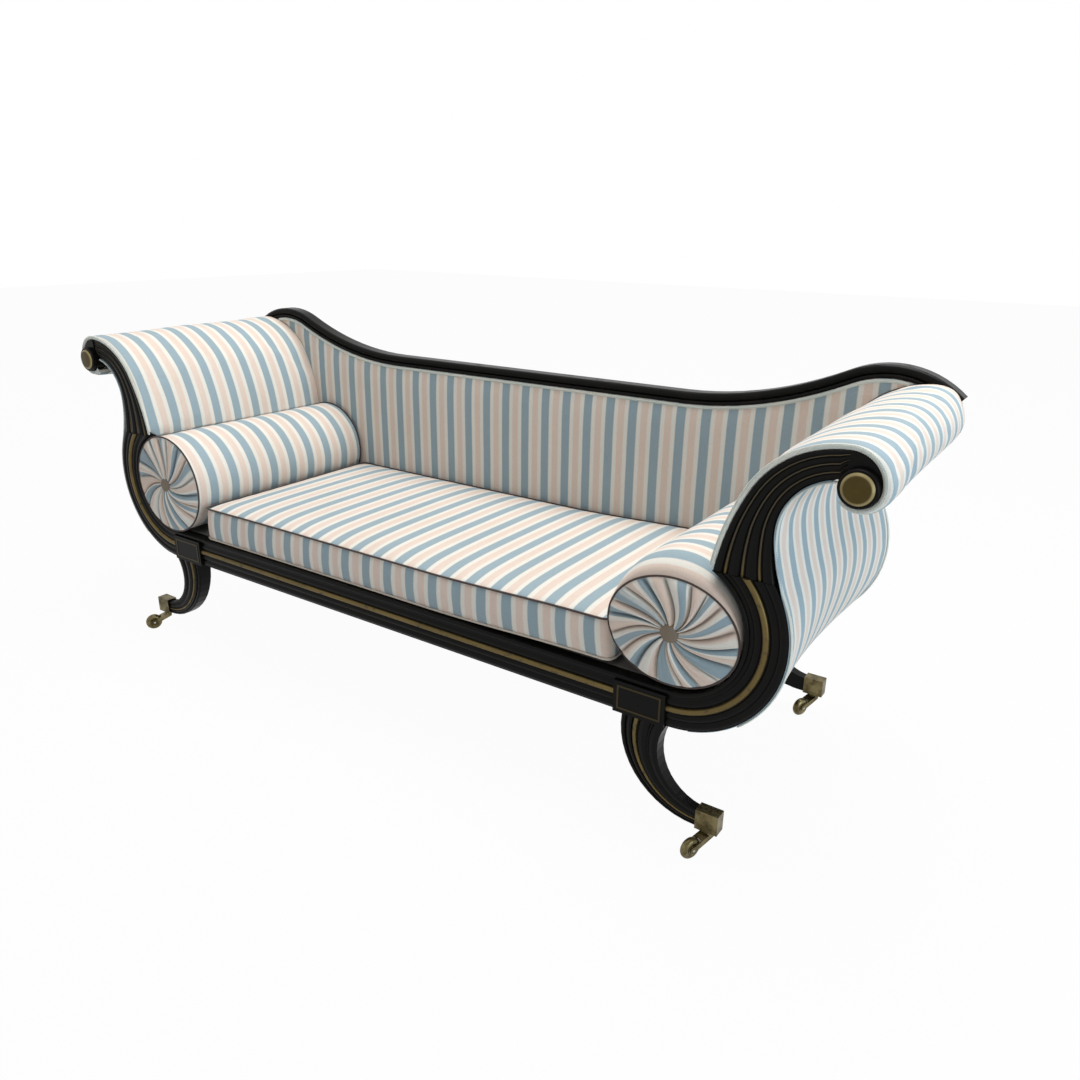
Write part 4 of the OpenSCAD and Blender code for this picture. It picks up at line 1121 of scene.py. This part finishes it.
class Bolster:
    """The cover of a bolster, ring by ring from the middle of its front end to that of its rear end."""

    def __init__(self, word, pleats, repeat):
        self.side = SIDES[word]
        self.phase = ROLL_PHASE[word]
        self.repeat = repeat
        self.radius = (ROLL_HIGH.z - ROLL_LOW.z) / 2 - ROLL_ROOM
        self.centre = np.array([self.side * TROUGH[0], (ROLL_HIGH.z + ROLL_LOW.z) / 2])
        self.count = pleats * PLEAT_CELLS
        self.first, self.last = ROLL_LOW.y + END_SWELL, ROLL_HIGH.y - END_SWELL
        self.fullness = [
            0.5 + 0.5 * noise.noise(Vector((i * 3.91, self.side * 3.7, 0.3))) for i in range(pleats)
        ]
        self.drift = [7.0 * self.waver(m / self.count, 1, 2.2) for m in range(self.count)]
        self.curl = [30 + 22 * self.waver(m / self.count, 2) for m in range(self.count)]
        self.points, self.folds, self.depths = [], [], []
        for share in END_SHARES:
            self.end_ring(share, self.first, 1)
        for i in range(1, BARREL_CELLS):
            self.barrel_ring((1 - math.cos(math.pi * i / BARREL_CELLS)) / 2)
        for share in reversed(END_SHARES):
            self.end_ring(share, self.last, -1)
        self.rows = len(self.depths)
        self.rims = (len(END_SHARES) - 1, self.rows - len(END_SHARES))

    def waver(self, share, seed, scale=1.6):
        """Smooth noise from -1 to 1 round the bolster, at a share of its way round."""
        way = ray(360 * share) * scale
        return noise.noise(Vector((way[0] + 5.1 * seed, way[1] + self.side * 2.3, 0.7 * seed)))

    def pressed(self, p, depth):
        """The soft front end of the right bolster gives way under its own weight."""
        if self.side < 0 or depth > PRESS_REACH:
            return p
        away = 1 - depth / PRESS_REACH
        give = 1 - math.sqrt(1 - away * away)
        rise = (p[1] - self.centre[1]) * (1 - PRESS_SHARE * give)
        return np.array([p[0], self.centre[1] + rise - PRESS_SINK * give])

    def end_ring(self, share, plane, out):
        """A ring of an end, with its pleats. It stands out from the plane of the end's edge."""
        dome = (1 - share**5) ** 0.9 * (1 - 0.5 * math.exp(-((share / 0.16) ** 2)))
        gather = GATHER_DEPTH * min(share / 0.30, 1.0) ** 0.7 * (1 - share**9) + 0.0015 * (1 - share)
        for m in range(self.count):
            fold = pleat(m % PLEAT_CELLS / PLEAT_CELLS, self.fullness[m // PLEAT_CELLS])
            turned = 360 * m / self.count + self.drift[m] - self.curl[m] * (1 - share) ** 1.4
            depth = 0.0 if out > 0 else 1.0
            p = self.pressed(self.centre + self.radius * share * ray(turned), depth)
            lift = END_SWELL * dome + gather * (fold - 0.70)
            # Painted shade for the pleat's valley, deeper where the end is gathered more
            self.folds.append(min(max(0.42 - fold, 0.0) * 2.4 * min(gather / 0.006, 1.0), 1.0))
            self.points.append((p[0], plane - out * lift, p[1]))
        self.depths.append(plane)

    def barrel_ring(self, share):
        """A ring of the barrel, at a share of its length."""
        y = self.first + (self.last - self.first) * share
        for m in range(self.count):
            slump = BARREL_SLUMP * self.waver(m / self.count, 3 + y * 4.0, 2.4)
            way = ray(360 * m / self.count + self.drift[m])
            p = self.pressed(self.centre + (self.radius + slump - ROLL_ROOM) * way, y - self.first)
            self.points.append((p[0], y, p[1]))
            self.folds.append(0.0)
        self.depths.append(y)

    def lay(self, row, column, barrel):
        """Where a point lies on the flat cloth: on the barrel, or on the strip gathered into an end."""
        share = column / self.count
        if barrel:
            return self.depths[row] - self.first - self.phase, self.radius * 2 * math.pi * share
        ring = min(row, self.rows - 1 - row)
        rounds = round(2 * math.pi * self.radius / self.repeat)
        gathered = GATHER_DRIFT * self.waver(share, 6, 3.4) * self.repeat
        return rounds * self.repeat * share + gathered, self.radius * END_SHARES[ring]

    def corners(self):
        """The places on the flat cloth of all faces' corners, in the order of skin_faces turned round."""
        placed = []
        for i in range(self.rows - 1):
            barrel = self.rims[0] <= i < self.rims[1]
            for m in range(self.count):
                spots = ((i + 1, m), (i + 1, m + 1), (i, m + 1), (i, m))
                placed += [self.lay(row, column, barrel) for row, column in spots]
        return placed + [(0.0, 0.0)] * (2 * self.count)


class RECAMIER_OT_bolsters(PieceOperator):
    """Makes both bolsters with their gathered ends, ready for filling"""

    bl_idname = "recamier.bolsters"
    bl_label = "Bolsters"

    def execute(self, context):
        for word in SIDES:
            roll = Bolster(word, settings("recamier_filling").pleats, settings("recamier_cloth").repeat)
            faces = [tuple(reversed(f)) for f in skin_faces(roll.rows, roll.count)]
            piece = new_piece(f"{word}_bolster_cover", roll.points, faces, striped_cloth())
            lay_cut(piece.data, roll.corners())
            # The fold attribute carries the painted shade of the pleats' valleys to the cloth's colour
            piece.data.attributes.new("fold", "FLOAT", "POINT").data.foreach_set("value", roll.folds)
            front, rear = (range(row * roll.count, (row + 1) * roll.count) for row in roll.rims)
            pin(piece, {1.0: [*range(front.stop), *range(rear.start, len(roll.points))]})
            piece["front_rim"] = list(front)
            piece["rear_rim"] = list(rear)
            stuff(piece, cap=0.0025, slack=0.004, pressure=0.5)
        return {"FINISHED"}


# Points of the frame's meshes that are closer than this are one
SAME_SPOT = 0.00005


def remeshed(name, node, voxel, material):
    """A copy of a plain solid of the frame, as a closed skin of even faces."""
    piece = copied(name, node, material)
    weld = piece.modifiers.new("weld", "WELD")
    weld.merge_threshold = SAME_SPOT
    remesh = piece.modifiers.new("remesh", "REMESH")
    remesh.mode = "VOXEL"
    remesh.voxel_size = voxel
    remesh.adaptivity = 0.0
    applied(piece)
    dress(piece.data, material)
    soften(piece.data)
    return piece


def copied(name, node, material):
    """A copy of one of the frame's solids as a new piece."""
    mesh = frame["nodes"][node].data.copy()
    mesh.name = name
    dress(mesh, material)
    return placed(name, mesh)


def squared(piece, step):
    """Cuts a flat panel along even steps of its width and height."""
    work = bmesh.new()
    work.from_mesh(piece.data)
    bmesh.ops.remove_doubles(work, verts=work.verts, dist=SAME_SPOT)
    bmesh.ops.dissolve_limit(work, angle_limit=0.02, verts=work.verts, edges=work.edges)
    spots = [v.co for v in work.verts]
    for axis, way in ((0, (1.0, 0.0, 0.0)), (2, (0.0, 0.0, 1.0))):
        low, high = min(s[axis] for s in spots), max(s[axis] for s in spots)
        for place in np.arange(low + step, high - step / 3, step):
            at = [0.0, 0.0, 0.0]
            at[axis] = place
            geometry = [*work.verts, *work.edges, *work.faces]
            bmesh.ops.bisect_plane(work, geom=geometry, plane_co=at, plane_no=way)
        spots = [v.co for v in work.verts]
    work.to_mesh(piece.data)
    work.free()
    return piece


# Where the middle blue stripe of the inside back lies, and how its cloth's width compares with its own
BACK_PHASE = 0.005
BACK_TIGHT = 1.02
# Cells of the inside and of the outside of the back
INSIDE_STEP = 0.016
OUTSIDE_STEP = 0.030


class RECAMIER_OT_back(PieceOperator):
    """Makes the padded inside of the back and the cloth over its outside"""

    bl_idname = "recamier.back"
    bl_label = "Back"

    def execute(self, context):
        piece = squared(copied("inside_back", "back_pad", striped_cloth()), INSIDE_STEP)
        points = coords(piece.data)
        lay_flat(piece.data, (points[:, [0, 2]] - np.array([BACK_PHASE, 0.0])) * BACK_TIGHT)
        held = {i for face in piece.data.polygons if face.normal.y > -0.9 for i in face.vertices}
        pin(piece, {1.0: sorted(held)})
        stuff(piece, cap=0.008, slack=0.004, pressure=0.6)
        panel = squared(copied("outside_back", "back_cover", striped_cloth()), OUTSIDE_STEP)
        points = coords(panel.data)
        lay_flat(panel.data, points[:, [0, 2]])
        return {"FINISHED"}


class RECAMIER_OT_fill(PieceOperator):
    """Fills every cover that is set up for it, by cloth simulation, and makes the result its own mesh"""

    bl_idname = "recamier.fill"
    bl_label = "Fill the covers"

    def execute(self, context):
        scene = context.scene
        covers = [o for o in scene.objects if "cap" in o]
        rests = {o.name: coords(o.data) for o in covers}
        filled = rests
        for step in range(1, settings("recamier_filling").frames + 1):
            scene.frame_set(step)
        view = context.evaluated_depsgraph_get()
        filled = {o.name: coords(o.evaluated_get(view).data) for o in covers}
        for piece in covers:
            rest = rests[piece.name]
            move = filled[piece.name] - rest
            far = np.linalg.norm(move, axis=1, keepdims=True)
            cap = piece["cap"]
            move = move / np.maximum(far, 1e-9) * (cap * np.tanh(far / cap))
            piece.modifiers.clear()
            piece.vertex_groups.clear()
            place_coords(piece.data, rest + move)
            del piece["cap"]
        scene.frame_set(1)
        return {"FINISHED"}


def path_tree(name, build):
    """A geometry tree that follows a path, with named inputs for its sizes."""
    tree = bpy.data.node_groups.new(name, "GeometryNodeTree")
    tree.is_modifier = True
    tree.interface.new_socket("Geometry", in_out="INPUT", socket_type="NodeSocketGeometry")
    tree.interface.new_socket("Geometry", in_out="OUTPUT", socket_type="NodeSocketGeometry")
    weave = Weave(tree)
    inputs = tree.nodes.new("NodeGroupInput")
    outputs = tree.nodes.new("NodeGroupOutput")

    def size(label, kind, value):
        socket = tree.interface.new_socket(label, in_out="INPUT", socket_type=kind)
        if value is not None:
            socket.default_value = value
        return Wire(weave, inputs.outputs[label])

    shape = build(weave, Wire(weave, inputs.outputs["Geometry"]), size)
    shape = weave.add("GeometryNodeSetShadeSmooth", None, {"Geometry": shape})
    shape = weave.add("GeometryNodeRealizeInstances", None, {"Geometry": shape})
    material = size("Material", "NodeSocketMaterial", None)
    shape = weave.add("GeometryNodeSetMaterial", None, {"Geometry": shape, "Material": material})
    weave.join(shape, outputs.inputs["Geometry"])
    return tree


def tube_nodes(weave, path, size):
    """A round cord along a path."""
    step = size("Step", "NodeSocketFloat", 0.004)
    radius = size("Radius", "NodeSocketFloat", 0.0024)
    curve = weave.add("GeometryNodeMeshToCurve", None, {"Mesh": path})
    curve = weave.add("GeometryNodeResampleCurve", {"mode": "LENGTH"}, {"Curve": curve, "Length": step})
    ring = weave.add("GeometryNodeCurvePrimitiveCircle", None, {"Resolution": 10, "Radius": radius})
    tube = {"Curve": curve, "Profile Curve": ring, "Fill Caps": True}
    return weave.add("GeometryNodeCurveToMesh", None, tube)


def braid_nodes(weave, path, size):
    """A flat braid of three strands along a path, which faces one way."""
    step = size("Step", "NodeSocketFloat", 0.0018)
    width = size("Width", "NodeSocketFloat", 0.008)
    pitch = size("Pitch", "NodeSocketFloat", 0.012)
    thick = size("Strand", "NodeSocketFloat", 0.0013)
    front = size("Facing", "NodeSocketVector", (0.0, -1.0, 0.0))
    turned = size("Turn", "NodeSocketFloat", 0.0)
    curve = weave.add("GeometryNodeMeshToCurve", None, {"Mesh": path})
    curve = weave.add("GeometryNodeResampleCurve", {"mode": "LENGTH"}, {"Curve": curve, "Length": step})
    tangent = weave.add("GeometryNodeInputTangent")
    aside = weave.add("ShaderNodeVectorMath", {"operation": "CROSS_PRODUCT"}, {0: tangent, 1: front})
    cosine, sine = turned.math("COSINE"), turned.math("SINE")
    facing = weave.plus(weave.times(front, cosine), weave.times(aside, sine))
    across = weave.plus(weave.times(aside, cosine), weave.times(front, sine * -1.0))
    length = weave.add("GeometryNodeSplineParameter", None, None, "Length")
    ring = weave.add("GeometryNodeCurvePrimitiveCircle", None, {"Resolution": 5, "Radius": thick})
    strands = []
    for k in range(3):
        phase = length / pitch * (2 * math.pi) + 2 * math.pi * k / 3
        side = phase.math("SINE") * (width * 0.5 - thick)
        rise = (phase * 2.0).math("COSINE") * (thick * 0.6)
        offset = weave.plus(weave.times(across, side), weave.times(facing, rise))
        strand = weave.add("GeometryNodeSetPosition", None, {"Geometry": curve, "Offset": offset})
        tube = {"Curve": strand, "Profile Curve": ring, "Fill Caps": True}
        strands.append(weave.add("GeometryNodeCurveToMesh", None, tube))
    return weave.add("GeometryNodeJoinGeometry", None, {"Geometry": strands})


def tack_nodes(weave, path, size):
    """Domed tack heads at even steps along a path."""
    pitch = size("Pitch", "NodeSocketFloat", 0.035)
    radius = size("Radius", "NodeSocketFloat", 0.0045)
    curve = weave.add("GeometryNodeMeshToCurve", None, {"Mesh": path})
    spots = weave.add("GeometryNodeCurveToPoints", {"mode": "LENGTH"}, {"Curve": curve, "Length": pitch})
    head = weave.add("GeometryNodeMeshUVSphere", None, {"Segments": 10, "Rings": 6, "Radius": radius})
    squat = weave.vector(1.0, 1.0, 0.3)
    head = weave.add("GeometryNodeTransform", None, {"Geometry": head, "Scale": squat})
    return weave.add("GeometryNodeInstanceOnPoints", None, {"Points": spots, "Instance": head})


TREES = {}


def along(name, lines, kind, build, material, **sizes):
    """A piece that a geometry tree makes along lines of points. One that ends where it starts is closed."""
    if kind not in TREES:
        TREES[kind] = path_tree(kind, build)
    tree = TREES[kind]
    points, edges = [], []
    for line in lines:
        start = len(points)
        closed = np.linalg.norm(np.asarray(line[0]) - np.asarray(line[-1])) < 1e-6
        line = line[:-1] if closed else line
        points.extend(tuple(p) for p in line)
        edges.extend((start + i, start + i + 1) for i in range(len(line) - 1))
        if closed:
            edges.append((start + len(line) - 1, start))
    mesh = bpy.data.meshes.new(name)
    mesh.from_pydata(points, edges, [])
    piece = placed(name, mesh)
    nodes = piece.modifiers.new(kind, "NODES")
    nodes.node_group = tree
    values = {label.replace("_", " ").title(): value for label, value in sizes.items()}
    values["Material"] = material
    for item in tree.interface.items_tree:
        if item.in_out == "INPUT" and item.name in values:
            nodes[item.identifier] = values[item.name]
    return applied(piece)


def at_depth(points, depth):
    """Front view points set at one depth."""
    return [(p[0], FACE + depth, p[1]) for p in points]


# How far the squab's piping lies over the seam and over its foot, and out from it as a share of its radius
TOP_PIPING_LIFT = 0.0006
FOOT_PIPING_LIFT = 0.0018
PIPING_OUT = 0.35
# The bolsters' piping compared with the squab's
ROLL_PIPING = 0.9


class RECAMIER_OT_piping(PieceOperator):
    """Makes the piping round the squab and the bolsters"""

    bl_idname = "recamier.piping"
    bl_label = "Piping"

    def execute(self, context):
        radius = settings("recamier_cloth").piping_r
        squab = bpy.data.objects["squab_cover"]
        points = coords(squab.data)
        for label, key, material, lift in (
            ("squab_piping_top", "seam", piping_cloth(), TOP_PIPING_LIFT),
            ("squab_piping_foot", "foot", pale_piping_cloth(), FOOT_PIPING_LIFT),
        ):
            line = points[list(squab[key])]
            out = line - line.mean(axis=0)
            out[:, 2] = 0
            out = out / np.linalg.norm(out, axis=1, keepdims=True)
            line = line + out * radius * PIPING_OUT + np.array([0, 0, lift])
            piece = along(label, [[*line, line[0]]], "tube", tube_nodes, material, radius=radius)
            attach(piece, "seat_squab")
        for word in SIDES:
            cover = bpy.data.objects[f"{word}_bolster_cover"]
            points = coords(cover.data)
            rims = [points[list(cover[key])] for key in ("front_rim", "rear_rim")]
            lines = [[*rim, rim[0]] for rim in rims]
            label = f"{word}_bolster_piping"
            thin = radius * ROLL_PIPING
            piece = along(label, lines, "tube", tube_nodes, piping_cloth(), radius=thin)
            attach(piece, f"{word}_roll")
        return {"FINISHED"}


# A button: its size, how deep it is pulled in, how far the right one sinks with its end, and its gathers
BUTTON_R = 0.0195
BUTTON_H = 0.009
BUTTON_DEPTH = 0.0065
BUTTON_SINK = 0.0125
BUTTON_GATHER = 0.0004
BUTTON_FOLDS = 8


def button_mesh(radius, height, sides, rows):
    """A covered button with fine gathers at its edge, facing -Y, as points and faces."""
    points, faces = [], []
    for i in range(rows + 1):
        share = i / rows
        r = radius * math.sin(math.pi / 2 * share) ** 0.8
        for m in range(sides):
            gather = BUTTON_GATHER * share**3 * math.cos(BUTTON_FOLDS * 2 * math.pi * m / sides)
            p = (r + gather) * ray(360 * m / sides)
            points.append((p[0], -height * math.cos(math.pi / 2 * share) - gather, p[1]))
    for i in range(rows):
        for m in range(sides):
            k = (m + 1) % sides
            faces.append((i * sides + m, i * sides + k, (i + 1) * sides + k, (i + 1) * sides + m))
    faces.append(tuple(range(rows * sides, (rows + 1) * sides)))
    return points, faces


class RECAMIER_OT_buttons(PieceOperator):
    """Makes the covered button in the middle of each bolster's front end"""

    bl_idname = "recamier.buttons"
    bl_label = "Buttons"

    def execute(self, context):
        for word, side in SIDES.items():
            low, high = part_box(f"{word}_button")
            points, faces = button_mesh(BUTTON_R, BUTTON_H, 48, 8)
            sunk = BUTTON_SINK * (side > 0)
            place = ((low.x + high.x) / 2, ROLL_LOW.y + BUTTON_DEPTH, (low.z + high.z) / 2 - sunk)
            piece = new_piece(f"{word}_bolster_button", np.array(points) + place, faces, button_cloth())
            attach(piece, f"{word}_roll")
            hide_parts(f"{word}_button")
        return {"FINISHED"}


# The gimp's path: its steps, and the angle under the arm at which the outer one ends
GIMP_STEP = 0.006
GIMP_END = -52
# How far it lies off the wood's edge: inside at the waist and over the flank, in front, and outside
GIMP_LOW = 0.0030
GIMP_HIGH = 0.0055
GIMP_PROUD = 0.0002
GIMP_OUT = 0.0034


class RECAMIER_OT_gimp(PieceOperator):
    """Makes the braid along the arms and under the crest rail"""

    bl_idname = "recamier.gimp"
    bl_label = "Gimp"

    def execute(self, context):
        width = settings("recamier_cloth").gimp_w
        inner = inner_profile(GIMP_STEP)
        runs = lengths(inner)
        upper = [
            p + n * (GIMP_LOW + (GIMP_HIGH - GIMP_LOW) * rise)
            for (p, n), s, rise in zip(inner, runs, flank_rise(runs))
            if s > TROUGH_RUN + 0.002
        ]
        outer = [p + n * GIMP_OUT for p, n in outer_line(GIMP_STEP)]
        shown = [p for p in outer if turn(p - TROUGH) > GIMP_END or p[1] > WAIST_Z]
        lines = (
            ("inner_gimp", upper, PAD_LOW.y - FACE - GIMP_PROUD, -1.0, 0.0),
            ("outer_gimp", shown, COVER_LOW.y - FACE + width / 2, -1.0, math.pi / 2),
            ("rear_gimp", outer, BACK - width / 2, 1.0, -math.pi / 2),
        )
        for word, side in SIDES.items():
            for label, line, depth, facing, turned in lines:
                path = mirrored(at_depth(line, depth), side)
                sizes = {"width": width, "facing": (0.0, facing, 0.0), "turn": side * turned}
                piece = along(f"{word}_{label}", [path], "braid", braid_nodes, gimp_yarn(), **sizes)
                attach(piece, "frame")
        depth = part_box("back_pad")[0].y - FACE - GIMP_LOW
        under = [p - np.array([0.0, width * 0.5]) for p in crest_line(2 * GIMP_STEP)]
        line = at_depth([(-p[0], p[1]) for p in reversed(under)] + under, depth)
        sizes = {"width": width, "facing": (0.0, -1.0, 0.0)}
        piece = along("crest_gimp", [line], "braid", braid_nodes, gimp_yarn(), **sizes)
        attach(piece, "frame")
        return {"FINISHED"}


# The deck's faces
DECK_STEP = 0.008
# The cloth under the seat: its cells, its thickness, its sag and ripples, and how far in its tacks are
CAMBRIC_CELLS = (120, 56)
CAMBRIC_T = 0.0005
CAMBRIC_SAG = 0.003
CAMBRIC_RIPPLE = 0.0006
TACK_INSET = 0.008


class RECAMIER_OT_deck(PieceOperator):
    """Makes the padded deck and the cloth under the seat"""

    bl_idname = "recamier.deck"
    bl_label = "Deck and bottom cloth"

    def execute(self, context):
        piece = remeshed("deck_cover", "seat_deck", DECK_STEP, twill())
        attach(piece, "frame")
        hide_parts("seat_deck")
        low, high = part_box("bottom_cloth")
        nx, ny = CAMBRIC_CELLS
        mid_y, half_y = (low.y + high.y) / 2, (high.y - low.y) / 2
        points = []
        for i in range(nx + 1):
            for j in range(ny + 1):
                u, v = 2 * i / nx - 1, 2 * j / ny - 1
                sag = CAMBRIC_SAG * (1 - u**4) * (1 - v**4)
                ripple = CAMBRIC_RIPPLE * noise.noise(Vector((u * 9, v * 5, 0.4)))
                ripple *= (1 - u**8) * (1 - v**8)
                points.append((u * high.x, mid_y + v * half_y, high.z - sag + ripple))
        faces = [
            (i * (ny + 1) + j, i * (ny + 1) + j + 1, (i + 1) * (ny + 1) + j + 1, (i + 1) * (ny + 1) + j)
            for i in range(nx)
            for j in range(ny)
        ]
        cloth = new_piece("bottom_cambric", points, faces, cambric())
        thick = cloth.modifiers.new("thickness", "SOLIDIFY")
        thick.thickness = CAMBRIC_T
        thick.offset = 0
        applied(cloth)
        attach(cloth, "frame")
        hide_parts("bottom_cloth")
        x, front, rear, z = high.x - TACK_INSET, low.y + TACK_INSET, high.y - TACK_INSET, low.z + CAMBRIC_T
        corners = [(-x, front, z), (x, front, z), (x, rear, z), (-x, rear, z)]
        tacks = along("cambric_tacks", [[*corners, corners[0]]], "tacks", tack_nodes, steel())
        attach(tacks, "frame")
        return {"FINISHED"}


class RECAMIER_OT_upholster(PieceOperator):
    """Smooths the filled covers and puts each on the part that it belongs to"""

    bl_idname = "recamier.upholster"
    bl_label = "Set the covers on"

    def execute(self, context):
        rows = [
            ("squab_cover", "seat_squab", "squab", 0.7, 1),
            ("inside_back", "frame", "back_pad", 0.8, 0),
            ("outside_back", "frame", "back_cover", 0.9, 0),
        ]
        for word in SIDES:
            rows.append((f"{word}_bolster_cover", f"{word}_roll", f"{word}_bolster", 0.8, 1))
            rows.append((f"{word}_arm_lining", "frame", f"{word}_arm_pad", 0.8, 1))
            rows.append((f"{word}_outer_cover", "frame", f"{word}_arm_cover", 0.8, 1))
        for name, body, node, fill, levels in rows:
            piece = bpy.data.objects[name]
            if levels:
                smoother(piece, levels)
            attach(piece, body)
            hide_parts(node)
        return {"FINISHED"}


NODE_FINISHES = {
    "black_wood": ebonised,
    "gilt": gilding,
    "brass": old_brass,
    "steel": steel,
    "frame_wood": raw_wood,
    "webbing": jute,
    "lining_cloth": cambric,
    "deck_cloth": twill,
}
SPECIAL_FINISHES = {"scroll_discs": disc_brass_painted_light, "tablet_gilding": worn_gilding}


class RECAMIER_OT_finishes(PieceOperator):
    """Gives every wooden and metal part of the frame its finish"""

    bl_idname = "recamier.finishes"
    bl_label = "Frame finishes"

    def execute(self, context):
        slots = {row["node"]: row["material_slot"] for row in frame["record"]["subparts"]}
        for name, node in frame["nodes"].items():
            finish = SPECIAL_FINISHES.get(name) or NODE_FINISHES.get(slots[name])
            if finish:
                dress(node.data, finish())
        return {"FINISHED"}


# Where the camera stands, its yaw, pitch and roll in degrees, and its lens in millimetres
CAMERA_SPOT = (1.3274, FACE - 1.287874, 1.1096)
CAMERA_TURNS = (34.08, -20.06, 0.68)
CAMERA_LENS = 29.16
FLOOR_HALF = 14.0
# How white the floor and the sky look to the camera, and how strongly the sky lights things
FLOOR_GLOW = 0.96
SKY_SEEN = 1.0
SKY_LIGHT = 0.49
# Each lamp's place, what it points at, its width, its power and its colour
LAMPS = {
    "key_light": ((0.6, 0.6, 4.0), (0.0, 0.0, 0.4), 2.6, 149.0, (1.0, 0.995, 0.98)),
    "side_light": ((4.2, -0.5, 0.9), (0.8, 0.0, 0.5), 1.8, 66.0, (0.70, 0.87, 1.0)),
    "fill_light": ((-1.0, -4.0, 2.4), (0.0, 0.0, 0.4), 3.0, 5.0, (1.0, 0.995, 0.98)),
}


class RECAMIER_OT_stage(PieceOperator):
    """Makes the floor, the light and the camera"""

    bl_idname = "recamier.stage"
    bl_label = "Stage"

    def execute(self, context):
        scene = context.scene
        scene.view_settings.view_transform = "Standard"
        half = FLOOR_HALF
        corners = [(-half, -half, 0.0), (half, -half, 0.0), (half, half, 0.0), (-half, half, 0.0)]
        floor = new_piece("floor", corners, [(0, 1, 2, 3)], floor_paint())
        scene.world = sky()
        for name, (place, aim, size, power, colour) in LAMPS.items():
            lamp = bpy.data.lights.new(name, "AREA")
            lamp.color = colour
            lamp.shape = "SQUARE"
            lamp.size = size
            lamp.energy = power
            light = placed(name, lamp)
            light.location = place
            light.rotation_euler = (Vector(aim) - Vector(place)).to_track_quat("-Z", "Y").to_euler()
        camera = bpy.data.cameras.new("camera")
        camera.sensor_width = 36.0
        camera.lens = CAMERA_LENS
        viewer = placed("camera", camera)
        viewer.matrix_world = camera_place(CAMERA_SPOT, *CAMERA_TURNS)
        scene.camera = viewer
        return {"FINISHED"}


def camera_place(place, yaw, pitch, roll):
    """Where the camera stands and how it is turned, from the angles of its line of sight."""
    y, p, r = (math.radians(a) for a in (yaw, pitch, roll))
    ahead = Vector((-math.sin(y) * math.cos(p), math.cos(y) * math.cos(p), math.sin(p)))
    right = Vector((math.cos(y), math.sin(y), 0.0))
    up = right.cross(ahead)
    level = right * math.cos(r) + up * math.sin(r)
    upright = up * math.cos(r) - right * math.sin(r)
    turned = Matrix((level, upright, -ahead)).transposed().to_4x4()
    return Matrix.Translation(place) @ turned


def floor_paint():
    """A plain pale floor that takes shadows and that the camera and reflections see as almost white."""
    finish = Finish("floor_paint", roughness=0.9)
    tone = finish.noise(finish.place(), 0.8, 2.0)
    finish.set(base_color=finish.blend(tone, (0.56, 0.56, 0.56), (0.59, 0.59, 0.59)))
    glow = finish.add("ShaderNodeEmission", None, {"Color": (1.0, 1.0, 1.0, 1.0)})
    share = bright_rays(finish) * FLOOR_GLOW
    painted = Wire(finish, finish.shader.outputs[0])
    shown = finish.add("ShaderNodeMixShader", None, {0: share, 1: painted, 2: glow})
    finish.join(shown, finish.tree.nodes["Material Output"].inputs["Surface"])
    return finish.material


def bright_rays(weave):
    """1 for what the camera, reflections and glass see, and 0 for the light on things."""
    rays = weave.tree.nodes.new("ShaderNodeLightPath")
    seen = [Wire(weave, rays.outputs[f"Is {kind} Ray"]) for kind in ("Camera", "Glossy", "Transmission")]
    return seen[0].math("MAXIMUM", seen[1]).math("MAXIMUM", seen[2])


def sky():
    """Even light from all round, which the camera and reflections see as white."""
    world = bpy.data.worlds.new("studio")
    world.use_nodes = True
    weave = Weave(world.node_tree)
    strength = bright_rays(weave) * (SKY_SEEN - SKY_LIGHT) + SKY_LIGHT
    background = world.node_tree.nodes["Background"]
    background.inputs["Color"].default_value = (1.0, 1.0, 1.0, 1.0)
    weave.join(strength, background.inputs["Strength"])
    return world


GROUPS = {
    "recamier_cloth": ClothSettings,
    "recamier_finish": FinishSettings,
    "recamier_filling": FillingSettings,
}


class RECAMIER_PT_panel(Panel):
    """Lists the settee's pieces in the order in which they are made"""

    bl_idname = "RECAMIER_PT_panel"
    bl_label = "Recamier"
    bl_space_type = "VIEW_3D"
    bl_region_type = "UI"
    bl_category = "Recamier"

    def draw(self, context):
        layout = self.layout
        for name in STEPS:
            layout.operator(f"recamier.{name}")
        for name in GROUPS:
            box = layout.box()
            for key in GROUPS[name].__annotations__:
                box.prop(settings(name), key)


STEPS = [
    "stage", "finishes", "deck", "arm_linings", "outer_covers", "squab", "bolsters", "back",
    "fill", "piping", "buttons", "gimp", "upholster",
]
CLASSES = [
    ClothSettings,
    FinishSettings,
    FillingSettings,
    RECAMIER_OT_stage,
    RECAMIER_OT_finishes,
    RECAMIER_OT_deck,
    RECAMIER_OT_arm_linings,
    RECAMIER_OT_outer_covers,
    RECAMIER_OT_squab,
    RECAMIER_OT_bolsters,
    RECAMIER_OT_back,
    RECAMIER_OT_fill,
    RECAMIER_OT_piping,
    RECAMIER_OT_buttons,
    RECAMIER_OT_gimp,
    RECAMIER_OT_upholster,
    RECAMIER_PT_panel,
]


def register():
    for item in CLASSES:
        bpy.utils.register_class(item)
    for name, group in GROUPS.items():
        setattr(bpy.types.Scene, name, PointerProperty(type=group))


def unregister():
    for name in GROUPS:
        delattr(bpy.types.Scene, name)
    for item in reversed(CLASSES):
        bpy.utils.unregister_class(item)


def main():
    register()
    for name in STEPS:
        getattr(bpy.ops.recamier, name)()


if __name__ == "__main__":
    main()
